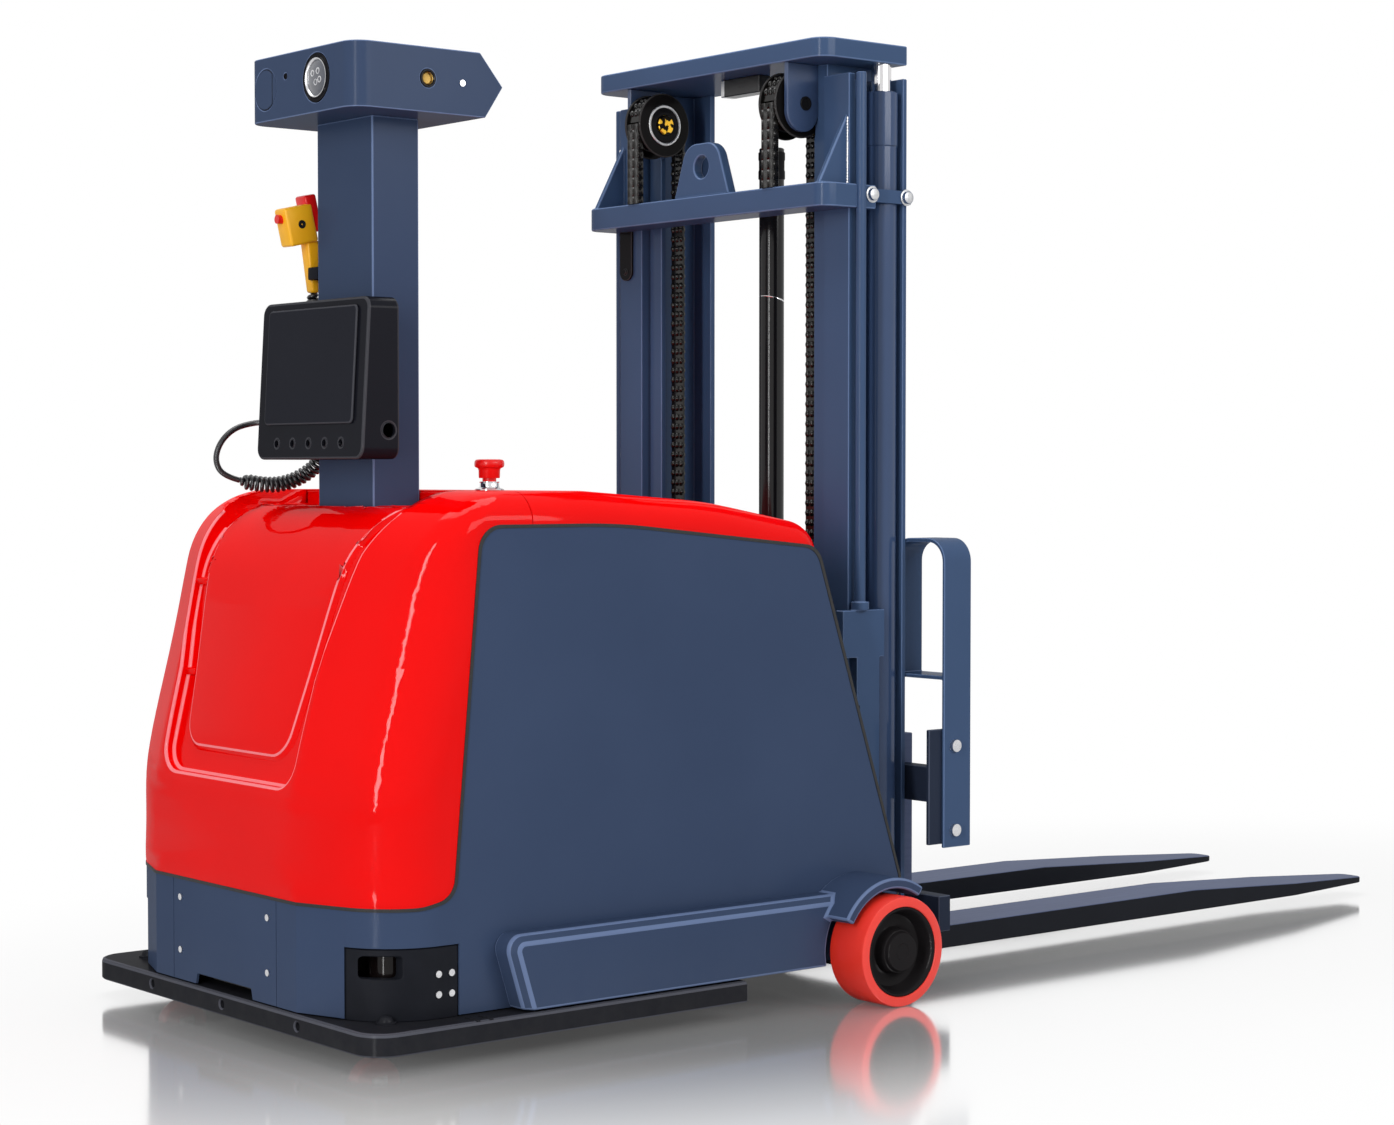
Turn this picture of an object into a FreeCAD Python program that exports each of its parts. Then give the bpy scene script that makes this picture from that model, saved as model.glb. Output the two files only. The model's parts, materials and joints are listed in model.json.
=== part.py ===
import FreeCAD, Part

# Autonomous mast stacker: a driverless counterbalanced truck with two forks on a two-stage mast.
# Lengths are in millimetres.  Pieces are drawn with X = 0 at the front edge of the base plate,
# +X towards the fork tips, Y = 0 on the centre line and Z = 0 on the floor.  Each finished piece is
# moved back by half of the overall length, which puts the origin under the middle of the truck.
# "Near" is the -Y side and "far" is the +Y side.

import math
import os

import Sketcher
from FreeCAD import Placement, Rotation, Vector

SIZES = {
    # overall outline
    "fork_tip_x": 3187, "body_front": 6, "body_half": 480, "nose_half": 270, "nose_setback": 74.4,
    "nose_radius": 150, "panel_wall": 5, "panel_bottom": 83, "seam_gap": 3, "fascia_top": 285,
    # base plate
    "plate_length": 883, "plate_overhang": 61, "plate_thick": 43, "plate_top": 80, "plate_corner": 60,
    "plate_bevel": 4, "tow_hole_radius": 8, "tow_hole_depth": 40, "tow_hole_pitch": 280,
    # casters and drive wheel
    "caster_x": 140, "caster_y": 365, "caster_radius": 50, "caster_width": 34, "caster_trail": 25,
    "caster_pin_radius": 6, "well_clearance": 5, "caster_fork_wall": 5, "caster_side_gap": 1.5,
    "caster_cheek_half": 15, "caster_head": 12, "caster_cup_top": 148, "caster_cup_wall": 5,
    "drive_x": 420, "drive_radius": 115, "drive_width": 75, "drive_shaft_radius": 20,
    "drive_well_radius": 132, "drive_crown": 16, "drive_cheek": 12, "drive_cheek_half": 30,
    "drive_side_gap": 6, "drive_edge": 6, "seat_gap": 0.3,
    # load wheels
    "wheel_x": 1218, "wheel_radius": 113, "wheel_reach": 154, "wheel_width": 100, "tread_depth": 21,
    "axle_radius": 20, "wheel_cap_radius": 40, "running_gap": 0.05, "wheel_dish": 35, "rim_step": 4,
    "rim_lip": 80, "axle_cap_wall": 8, "axle_end_gap": 10,
    # chassis
    "rail_setback": 50, "frame_plate": 10, "frame_start": 300, "frame_top": 560, "bulkhead_thick": 20,
    "tower_post_half": 50, "tower_foot_thick": 10, "bulkhead_top": 600, "mast_floor_low": 45,
    "mast_floor_half": 416, "cross_depth": 60, "deck_low": 262, "axle_boss": 35,
    # machinery inside the body
    "ballast_front": 66, "ballast_back": 250, "ballast_half": 270, "ballast_top": 440,
    "battery_front": 560, "battery_back": 880, "battery_half": 300, "battery_top": 620,
    "tank_ahead": 318, "tank_length": 250, "tank_half": 250, "tank_top": 400, "pump_radius": 60,
    "pump_top": 560, "motor_radius": 60, "motor_top": 430, "motor_clearance": 2,
    # hood and covers
    "hood_seam": 400, "hood_top": 1055, "hood_wall": 5, "shoulder_radius": 66, "brow_radius": 200,
    "lean_start": 500, "lean_blend": 60, "lean_slope": 0.25, "recess_drop": 30, "recess_depth": 14,
    "recess_bottom": 497, "recess_low_half": 246, "recess_corner": 55, "recess_mid_half": 254,
    "recess_mid_z": 700, "recess_high_half": 303, "recess_high_z": 940, "recess_top_half": 333,
    "crown_radius": 55, "cover_gap": 2, "cover_drop": 36, "cover_crest_end": 560,
    "cover_crest_radius": 300, "cover_bend_x": 870, "cover_bend_z": 1032, "cover_bend_radius": 1200,
    "cover_end": 1150, "cover_end_top": 981, "cover_end_radius": 75,
    # side panels
    "panel_top": 988, "panel_tail_top": 936, "panel_tail_x": 1118, "panel_tail_low_x": 1352,
    "panel_tail_low_z": 240, "panel_front_low": 222, "panel_front_high": 284, "panel_lift": 300,
    "panel_low_corner": 45, "panel_corner": 50, "panel_fall_x": 600, "panel_fall_radius": 1500,
    "panel_heel_x": 1330,
    "access_half": 197, "access_gap": 2, "notch_half": 132, "notch_top_half": 104, "notch_height": 24,
    # fender pods and wheel arches
    "fender_front": 298, "fender_rake": 45, "fender_end": 1160, "fender_top": 228, "fender_bottom": 84,
    "fender_bevel": 16, "fender_corner": 30, "arch_inner": 126, "arch_wall": 22,
    "arch_reach": 126, "arch_front_rise": 91, "arch_rear_rise": 225,
    # scanners
    "pocket_front": 44, "pocket_back": 230, "pocket_top": 216, "housing_wall": 22, "pocket_gap": 2,
    "window_front": 58, "window_back": 118, "window_low": 159, "window_top": 201, "window_corner": 8,
    "scanner_x": 130, "scanner_y": 392, "scanner_radius": 36, "scanner_top": 208,
    # sensor tower and head
    "tower_front": 288, "tower_depth": 109, "tower_half": 102, "tower_wall": 5, "tower_top": 1790,
    "tower_foot_z": 950, "head_front": 184, "head_top_back": 478, "head_low_back": 490,
    "head_point_x": 532, "head_point_z": 1853, "head_half": 200, "head_height": 127,
    "head_corner": 42, "head_wall": 6, "head_floor": 5,
    "lens_y": 65, "lens_z": 1857, "lens_radius": 48, "disc_y": 127, "disc_radius": 41,
    "eye_y": 50, "eye_z": 1872, "eye_radius": 6, "side_eye_x": 354, "side_eye_z": 1856,
    "side_eye_radius": 18, "side_eye_bore": 12, "lens_rim": 6, "lens_glass": 34, "lens_proud": 2,
    # control box
    "box_half": 198, "box_front_top": 219, "box_front_low": 200, "box_top": 1430,
    "box_bottom": 1116, "box_wall": 4, "box_corner": 24, "screen_half": 165, "screen_low": 1185,
    "screen_top": 1415, "screen_thick": 6, "box_hole_radius": 7, "box_hole_pitch": 60,
    "box_hole_z": 1148, "box_hole_depth": 10, "box_side_hole_x": 262, "box_side_hole_z": 1172, "box_side_hole_radius": 14,
    # cord and pendant
    "gland_x": 262, "gland_z": 1194, "gland_radius": 12, "gland_length": 16,
    "cord_radius": 6, "curl_radius": 17.5,
    "pendant_y": 150, "grip_front": 283, "grip_back": 316, "grip_half": 16, "grip_low": 1457,
    "pendant_head_front": 232, "pendant_head_back": 305, "pendant_head_low": 1547,
    "pendant_head_top": 1630, "pendant_half": 22, "pendant_hook_front": 296, "pendant_hook_back": 317,
    "pendant_hook_low": 1570, "pendant_hook_top": 1650, "pendant_hole_x": 270, "pendant_hole_z": 1589,
    "pendant_hole_radius": 8, "pendant_button_radius": 9, "pendant_button_z": 1600,
    "pendant_button_out": 10, "pendant_button_in": 14, "holder_low": 1480, "holder_high": 1505,
    # emergency stop
    "stop_x": 518, "stop_y": 170, "stop_collar_radius": 21, "stop_collar_height": 17,
    "stop_neck_radius": 14, "stop_neck_low": 1038, "stop_head_radius": 30, "stop_head_low": 1100,
    "stop_head_top": 1117, "stop_head_edge": 7,
    # outer mast
    "mast_front": 1285, "mast_back": 1453, "mast_half": 392.5, "outer_web_y": 312.5, "outer_web": 10,
    "outer_front_flange": 18, "outer_rear_flange": 12, "outer_bottom": 60, "outer_top_drop": 70,
    "tie_front": 1198, "tie_half": 412, "tie_drop": 304, "tie_thick": 50, "tie_corner": 36,
    "tie_back": 1345, "gusset_front": 1205, "gusset_height": 148, "gusset_thick": 12,
    "gusset_y": 376, "lug_front": 1205, "lug_half": 93, "lug_thick": 24, "lug_hole_radius": 25,
    "lug_hole_height": 64, "lug_eye_radius": 52, "lug_corner": 46, "latch_y": 364, "latch_half": 22,
    "latch_thick": 7, "latch_length": 112, "latch_corner": 20, "latch_pin_radius": 7,
    "latch_pin": 5,
    # inner mast
    "inner_web_y": 294, "inner_web": 10, "inner_flange_tip_y": 234, "inner_front": 1303,
    "inner_back": 1440, "inner_flange": 14, "inner_bottom": 76, "pad_low_drop": 730,
    "pad_high_drop": 150, "pad_height": 120, "pad_inset": 20, "roller_gap": 4,
    "top_plate_front": 1209, "top_plate_thick": 41, "top_plate_corner": 40, "mast_height": 2000,
    # lift cylinders
    "cylinder_x": 1405, "cylinder_y": 362, "barrel_radius": 34, "gland_nut_radius": 35.7,
    "rod_radius": 22, "barrel_floor": 12, "barrel_drop": 100, "gland_nut_height": 115,
    "rod_low": 690, "clamp_rise": 16, "clamp_height": 28, "clamp_thick": 11,
    "clamp_back": 1454, "clamp_bolt_front": 1333, "clamp_bolt_back": 1440,
    "centre_cylinder_x": 1410, "centre_cylinder_radius": 28, "centre_cylinder_drop": 185,
    "stay_front": 1250, "stay_block_low": 700, "stay_block_top": 800, "stay_block_back": 1369,
    "stay_column_front": 1290, "stay_column_back": 1355, "stay_thick": 24,
    "tie_rod_x": 1302, "tie_rod_y": 411.8, "tie_rod_radius": 11, "tie_nut_radius": 19,
    "tie_nut_height": 18,
    # chains and pulleys
    "pulley_x": 1266, "pulley_drop": 125, "pulley_y": 232, "pulley_pitch_radius": 62,
    "pulley_flange": 72, "pulley_width": 56, "pulley_clearance": 6, "chain_width": 44,
    "chain_thick": 18, "chain_anchor_z": 712, "chain_lug_height": 19, "pulley_pin_radius": 14,
    "pulley_cap_radius": 22, "pulley_cap": 7, "cheek_front": 1215, "cheek_thick": 12, "cheek_gap": 4,
    "cheek_drop": 60, "cheek_corner": 43, "switch_front": 1290, "switch_back": 1325,
    "switch_near": -95, "switch_far": 35, "switch_height": 38,
    # carriage and forks
    "side_plate_y": 218, "side_plate": 12, "carriage_low": 90, "carriage_top": 690,
    "carriage_back": 1470, "carriage_front": 1335, "roller_radius": 53.9, "roller_width": 28,
    "roller_low_z": 200, "roller_high_z": 560, "roller_pin_radius": 15,
    "bar_half": 490, "bar_back": 1460, "bar_front": 1495, "upper_bar_bottom": 385, "upper_bar_top": 461, "lower_bar_bottom": 110,
    "lower_bar_top": 186, "end_plate": 10, "end_plate_low": 300, "end_plate_high": 545,
    "end_plate_back": 1420, "end_plate_front": 1500, "guard_fixing_x": 1486, "guard_fixing_low_z": 329,
    "guard_fixing_high_z": 509,
    "guard_half": 508, "guard_thick": 8, "guard_front": 1456, "guard_depth": 80, "guard_low": 292,
    "guard_top": 950, "guard_corner": 50, "guard_inner_y": 350, "guard_rung_z": 650,
    "fork_inner": 177.5, "fork_width": 144, "fork_front": 1543, "fork_top": 83, "fork_low": 33,
    "fork_shank_top": 520, "fork_tip_thick": 14, "fork_tip_half": 34, "fork_tip_corner": 25,
    "fork_narrow": 320, "fork_taper": 700, "fork_heel": 30, "fork_hook": 24,
    "bolt_head_radius": 13, "bolt_head": 9,
    "screw_head_radius": 6.5, "screw_head": 3, "access_screw_y": 168, "access_screw_low": 143,
    "access_screw_high": 248, "pocket_screw_front": 184, "pocket_screw_back": 213,
    "pocket_screw_low": 126, "pocket_screw_high": 164, "head_screw_x": 434,
}

doc = FreeCAD.newDocument("autonomous_stacker")
sheet = doc.addObject("Spreadsheet::Sheet", "Sizes")
for row, (word, number) in enumerate(SIZES.items(), start=1):
    sheet.set(f"A{row}", word)
    sheet.set(f"B{row}", str(number))
    sheet.setAlias(f"B{row}", word)
doc.recompute()


class Length:
    """A length worked out from cells: its text goes into expressions, its value starts a sketch."""

    def __init__(self, text, value):
        self.text = text
        self.value = value

    def __add__(self, other):
        other = length(other)
        return Length(f"({self.text} + {other.text})", self.value + other.value)

    def __sub__(self, other):
        other = length(other)
        return Length(f"({self.text} - {other.text})", self.value - other.value)

    def __mul__(self, other):
        other = length(other)
        return Length(f"({self.text} * {other.text})", self.value * other.value)

    def __truediv__(self, other):
        other = length(other)
        return Length(f"({self.text} / {other.text})", self.value / other.value)

    def __neg__(self):
        return Length(f"(0 - {self.text})", -self.value)

    def __radd__(self, other):
        return length(other) + self

    def __rsub__(self, other):
        return length(other) - self


def length(thing):
    """Anything as a Length: a plain number only ever stands for zero or a cutter's margin."""
    return thing if isinstance(thing, Length) else Length(str(thing), float(thing))


class Cells:
    """S.word is the cell with that alias."""

    def __getattr__(self, word):
        return Length(f"Sizes.{word}", float(sheet.get(word)))


S = Cells()
PLATE_HALF = S.body_half + S.plate_overhang
RAIL_Y = S.body_half - S.rail_setback
WHEEL_FACE = S.body_half + S.wheel_reach
ARCH_HALF = S.body_half + S.arch_reach
OUTER_TOP = S.mast_height - S.outer_top_drop
TIE_TOP = S.mast_height - S.tie_drop
TIE_LOW = TIE_TOP - S.tie_thick
BARREL_TOP = S.mast_height - S.barrel_drop
PULLEY_Z = S.mast_height - S.pulley_drop
MARGIN = 10  # how far a cutting tool runs past the faces that it cuts
NOSE_SHARE = 0.17  # share of a wall by which the flat of the nose narrows on its inner face
BROW_LEVELS = (2, 1.25, 0.76, 0.55, 0.4, 0.28, 0.18, 0.1, 0.04, 0)  # hood levels below its top, in brow radii
ARC_SHARE = 0.45  # share of the shorter run that a cord's arc takes up at a corner
LEAD_STEPS = ((0, 0, 0), (0, 36, 0), (-26, 62, -2), (-66, 70, -14), (-97.7, 70.1, -43.6),
              (-107.4, 72.4, -80), (-88.9, 71.9, -110.8))
CURL_STEPS = ((-100.5, 126.8, -382.5), (-50.5, 113.2, -395.2), (2.2, 86.3, -386.4), (42.3, 50.2, -351),
              (56.8, 18.7, -292.6), (50.2, 4, -221), (42.2, 0, -145), (15.3, 0, -87.3), (0, 0, -45.2), (0, 0, 0))
ALONG = {"x": Rotation(Vector(0, 1, 0), 90), "y": Rotation(Vector(1, 0, 0), -90), "z": Rotation()}
PLANES = {"XY": "XY_Plane", "XZ": "XZ_Plane", "YZ": "YZ_Plane"}


def bind(obj, prop, size):
    """Set a property of an object and tie it to the sheet."""
    obj.setExpression(prop, length(size).text)


def put(obj, x=0, y=0, z=0):
    for axis, size in zip("xyz", (x, y, z)):
        bind(obj, f".Placement.Base.{axis}", size)
    return obj


def add(kind, name):
    return doc.addObject(kind, name)


def block(name, x, y, z):
    """A box from (low, high) pairs."""
    obj = add("Part::Box", name)
    for prop, (low, high) in zip(("Length", "Width", "Height"), (x, y, z)):
        bind(obj, prop, length(high) - length(low))
    return put(obj, x[0], y[0], z[0])


def rod(name, axis, radius, low, high, x=0, y=0, z=0):
    """A cylinder along an axis from low to high; x, y, z place its centre line."""
    obj = add("Part::Cylinder", name)
    obj.Placement = Placement(Vector(), ALONG[axis])
    bind(obj, "Radius", radius)
    bind(obj, "Height", length(high) - length(low))
    spot = {"x": x, "y": y, "z": z}
    spot[axis] = low
    return put(obj, **spot)


def taper(name, axis, low_radius, high_radius, low, high, x=0, y=0, z=0):
    """A cone frustum along an axis."""
    obj = add("Part::Cone", name)
    obj.Placement = Placement(Vector(), ALONG[axis])
    bind(obj, "Radius1", low_radius)
    bind(obj, "Radius2", high_radius)
    bind(obj, "Height", length(high) - length(low))
    spot = {"x": x, "y": y, "z": z}
    spot[axis] = low
    return put(obj, **spot)


def fuse(name, *shapes):
    obj = add("Part::MultiFuse", name)
    obj.Shapes = list(shapes)
    return obj


def cut(name, base, *tools):
    obj = add("Part::Cut", name)
    obj.Base = base
    obj.Tool = tools[0] if len(tools) == 1 else fuse(f"{name}_tools", *tools)
    return obj


def common(name, *shapes):
    obj = add("Part::MultiCommon", name)
    obj.Shapes = list(shapes)
    return obj


def mirror(name, source):
    """The same piece on the other side of the centre line."""
    obj = add("Part::Mirroring", name)
    obj.Source = source
    obj.Normal = (0, 1, 0)
    return obj


def both(name, source):
    """A piece and its mirror image, as two solids."""
    obj = add("Part::Compound", name)
    obj.Links = [source, mirror(f"{name}_mirrored", source)]
    return obj


def corner_arc(before, corner, after, radius):
    """Tangent points and arc that round a corner of an outline."""
    to_before = (before - corner).normalize()
    to_after = (after - corner).normalize()
    half = to_before.getAngle(to_after) / 2
    reach = radius / math.tan(half)
    first = corner + to_before * reach
    last = corner + to_after * reach
    centre = corner + (to_before + to_after).normalize() * (radius / math.sin(half))
    middle = centre + (corner - centre).normalize() * radius
    return first, last, middle


def draw(sketch, outline):
    """A closed outline of (a, b) or (a, b, radius) corners, every size tied to the sheet."""
    points = [Vector(length(p[0]).value, length(p[1]).value, 0) for p in outline]
    radii = [length(p[2]) if len(p) > 2 else None for p in outline]
    count = len(points)
    starts, ends, arcs = [], [], {}
    for i, point in enumerate(points):
        if radii[i] is None:
            starts.append(point)
            ends.append(point)
        else:
            arcs[i] = corner_arc(points[i - 1], point, points[(i + 1) % count], radii[i].value)
            ends.append(arcs[i][0])
            starts.append(arcs[i][1])
    for i in range(count):
        sketch.addGeometry(Part.LineSegment(starts[i], ends[(i + 1) % count]), False)
    for i, point in enumerate(points):
        line_in, line_out = (i - 1) % count, i
        if i in arcs:
            first, last, middle = arcs[i]
            arc = sketch.addGeometry(Part.Arc(first, middle, last), False)
            left_turn = (point - points[i - 1]).cross(points[(i + 1) % count] - point).z > 0
            near_end, far_end = (1, 2) if left_turn else (2, 1)
            sketch.addConstraint(Sketcher.Constraint("Tangent", line_in, 2, arc, near_end))
            sketch.addConstraint(Sketcher.Constraint("Tangent", line_out, 1, arc, far_end))
            size = sketch.addConstraint(Sketcher.Constraint("Radius", arc, radii[i].value))
            bind(sketch, f"Constraints[{size}]", radii[i])
            spot = sketch.addGeometry(Part.Point(point), True)
            sketch.addConstraint(Sketcher.Constraint("PointOnObject", spot, 1, line_in))
            sketch.addConstraint(Sketcher.Constraint("PointOnObject", spot, 1, line_out))
            held, end = spot, 1
        else:
            sketch.addConstraint(Sketcher.Constraint("Coincident", line_in, 2, line_out, 1))
            held, end = line_out, 1
        across = sketch.addConstraint(Sketcher.Constraint("DistanceX", -1, 1, held, end, point.x))
        upward = sketch.addConstraint(Sketcher.Constraint("DistanceY", -1, 1, held, end, point.y))
        bind(sketch, f"Constraints[{across}]", outline[i][0])
        bind(sketch, f"Constraints[{upward}]", outline[i][1])


def new_body(name, plane):
    body = add("PartDesign::Body", name)
    sketch = body.newObject("Sketcher::SketchObject", f"{name}_sketch")
    support = next(f for f in body.Origin.OriginFeatures if f.Role == PLANES[plane])
    sketch.AttachmentSupport = [(support, "")]
    sketch.MapMode = "FlatFace"
    return body, sketch


def prism(name, plane, outline, low, high):
    """A padded outline: corners are (x, y), (x, z) or (y, z) by the plane, with optional radii."""
    body, sketch = new_body(name, plane)
    draw(sketch, outline)
    pad = body.newObject("PartDesign::Pad", f"{name}_pad")
    pad.Profile = sketch
    bind(pad, "Length", length(high) - length(low))
    if plane == "XY":
        put(body, z=low)
    elif plane == "XZ":
        put(body, y=high)
    else:
        put(body, x=low)
    return body


def turned(name, axis, profile, x=0, y=0, z=0):
    """A revolved profile of (radius, along) corners about an axis through the given place."""
    body, sketch = new_body(name, "XZ")
    draw(sketch, profile)
    turn = body.newObject("PartDesign::Revolution", f"{name}_turn")
    turn.Profile = sketch
    turn.ReferenceAxis = (sketch, ["V_Axis"])
    turn.Angle = 360
    body.Placement = Placement(Vector(), ALONG[axis])
    return put(body, x, y, z)


def dress(body, kind, prop, size, chosen):
    """Fillet or chamfer the edges of a body that chosen(edge) picks."""
    doc.recompute()
    tip = body.Tip
    names = [f"Edge{i}" for i, edge in enumerate(tip.Shape.Edges, start=1) if chosen(edge)]
    feature = body.newObject(f"PartDesign::{kind}", f"{body.Name}_{kind.lower()}")
    feature.Base = (tip, names)
    bind(feature, prop, size)
    return body


def runs_at(axis, place):
    """Picks edges that lie wholly in the plane axis = place of the body's own frame."""
    def chosen(edge):
        return all(abs(getattr(v.Point, axis) - place) < 0.01 for v in edge.Vertexes)
    return chosen


PIECES = {}


def piece(label, *shapes):
    """A finished piece: labelled for its file and moved so that the origin is under the middle."""
    obj = add("Part::Compound", f"piece_{label}")
    obj.Links = list(shapes)
    obj.Label = label
    put(obj, x=-S.fork_tip_x / 2)
    PIECES[label] = obj


def pair(label, far_shape):
    """A far-side piece and its near-side twin, as two pieces."""
    piece(f"{label}_far", far_shape)
    piece(f"{label}_near", mirror(f"{label}_near_shape", far_shape))


# ---------------------------------------------------------------- base plate

def base_plate():
    """Thick steel plate with rounded front corners, wells for the wheels and three towing holes."""
    outline = [(0, -PLATE_HALF, S.plate_corner), (S.plate_length, -PLATE_HALF),
               (S.plate_length, PLATE_HALF), (0, PLATE_HALF, S.plate_corner)]
    slab = prism("plate_slab", "XY", outline, S.plate_top - S.plate_thick, S.plate_top)
    dress(slab, "Chamfer", "Size", S.plate_bevel, runs_at("z", S.plate_thick.value))
    low, high = S.plate_top - S.plate_thick - MARGIN, S.plate_top + MARGIN
    well_radius = S.caster_radius + S.caster_trail + S.well_clearance
    well = rod("caster_well", "z", well_radius, low, high, S.caster_x, S.caster_y)
    drive_well = rod("drive_well", "z", S.drive_well_radius, low, high, S.drive_x)
    middle = S.plate_top - S.plate_thick / 2
    holes = [rod(f"tow_hole_{i + 2}", "x", S.tow_hole_radius, -MARGIN, S.tow_hole_depth,
                 y=S.tow_hole_pitch * i, z=middle) for i in (-1, 0, 1)]
    piece("base_plate", cut("plate_cut", slab, both("caster_wells", well), drive_well, *holes))


# ---------------------------------------------------------------- chassis

def chassis_frame():
    """Side rails, drive deck, bulkhead, mast floor and the post that carries the sensor tower."""
    inner, outer = RAIL_Y, RAIL_Y + S.frame_plate
    rail = block("frame_rail", (S.frame_start, S.mast_front), (inner, outer), (S.plate_top, S.frame_top))
    bulkhead = block("frame_bulkhead", (S.mast_front - S.bulkhead_thick, S.mast_front), (-inner, inner),
                     (S.mast_floor_low, S.bulkhead_top))
    floor = block("mast_floor", (S.mast_front - S.bulkhead_thick, S.mast_back),
                  (-S.mast_floor_half, S.mast_floor_half), (S.mast_floor_low, S.outer_bottom))
    shelf = block("frame_shelf", (S.plate_length, S.mast_front - S.bulkhead_thick), (-outer, outer),
                  (S.plate_top - S.frame_plate, S.plate_top))
    deck = block("drive_deck", (S.frame_start, S.drive_x + S.drive_well_radius), (-inner, inner),
                 (S.deck_low, S.deck_low + S.frame_plate))
    deck_hole = rod("deck_hole", "z", S.motor_radius + S.motor_clearance, S.deck_low - MARGIN,
                    S.deck_low + S.frame_plate + MARGIN, S.drive_x)
    cross = block("frame_cross", (S.frame_start, S.tower_front + S.tower_depth), (-inner, inner),
                  (S.frame_top - S.cross_depth, S.frame_top))
    post = block("tower_post", (S.frame_start, S.tower_front + S.tower_depth - S.frame_plate),
                 (-S.tower_post_half, S.tower_post_half),
                 (S.frame_top, S.tower_foot_z - S.tower_foot_thick))
    foot = block("tower_foot", (S.tower_front - S.frame_plate, S.tower_front + S.tower_depth + S.frame_plate),
                 (-S.tower_half - S.frame_plate, S.tower_half + S.frame_plate),
                 (S.tower_foot_z - S.tower_foot_thick, S.tower_foot_z))
    axle_block = block("axle_block", (S.wheel_x - S.axle_boss, S.wheel_x + S.axle_boss),
                       (outer, S.body_half - S.panel_wall), (S.plate_top, S.wheel_radius + S.axle_boss))
    weldment = fuse("frame_weldment", both("frame_rails", rail), bulkhead, floor, shelf, deck, cross,
                    post, foot, both("axle_blocks", axle_block))
    bore = rod("axle_bore", "y", S.axle_radius, -S.body_half, S.body_half, S.wheel_x, z=S.wheel_radius)
    piece("chassis_frame", cut("frame_bored", weldment, bore, deck_hole))


def inner_machinery():
    """Counterweight, battery, hydraulic unit and vehicle controller, standing on plate and shelf."""
    weight = prism("weight_body", "XY",
                   [(S.ballast_front, -S.ballast_half, S.frame_plate), (S.ballast_back, -S.ballast_half),
                    (S.ballast_back, S.ballast_half), (S.ballast_front, S.ballast_half, S.frame_plate)],
                   S.plate_top, S.ballast_top)
    piece("counterweight", weight)
    piece("battery", prism("battery_case", "XY",
                           [(S.battery_front, -S.battery_half, S.frame_plate),
                            (S.battery_back, -S.battery_half, S.frame_plate),
                            (S.battery_back, S.battery_half, S.frame_plate),
                            (S.battery_front, S.battery_half, S.frame_plate)],
                           S.plate_top, S.battery_top))
    tank_front = S.wheel_x - S.tank_ahead
    tank = block("hydraulic_tank", (tank_front, tank_front + S.tank_length), (-S.tank_half, S.tank_half),
                 (S.plate_top, S.tank_top))
    middle = tank_front + S.tank_length / 2
    motor = rod("hydraulic_motor", "z", S.pump_radius, S.tank_top, S.pump_top, middle)
    piece("hydraulic_unit", fuse("hydraulic_fused", tank, motor))


def drive_unit():
    """Steered yoke that hangs under the deck, its motor above, and the drive wheel on its shaft."""
    gap = S.drive_side_gap
    crown_low = S.deck_low - S.seat_gap - S.drive_crown
    crown = rod("drive_crown", "z", S.drive_radius, crown_low, S.deck_low - S.seat_gap, S.drive_x)
    inner = S.drive_width / 2 + gap
    cheek = block("drive_cheek", (S.drive_x - S.drive_cheek_half, S.drive_x + S.drive_cheek_half),
                  (inner, inner + S.drive_cheek), (S.drive_radius - S.drive_cheek_half, crown_low))
    shaft = rod("drive_shaft", "y", S.drive_shaft_radius, -inner, inner, S.drive_x, z=S.drive_radius)
    motor = rod("drive_motor", "z", S.motor_radius, S.deck_low - S.seat_gap, S.motor_top, S.drive_x)
    piece("drive_unit", fuse("drive_unit_fused", crown, both("drive_cheeks", cheek), shaft, motor))
    half, bore = S.drive_width / 2, S.drive_shaft_radius + S.running_gap
    wheel = turned("drive_wheel_turned", "y",
                   [(bore, -half), (S.drive_radius, -half, S.drive_edge), (S.drive_radius, half, S.drive_edge),
                    (bore, half)], S.drive_x, z=S.drive_radius)
    piece("drive_wheel", wheel)


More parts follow.
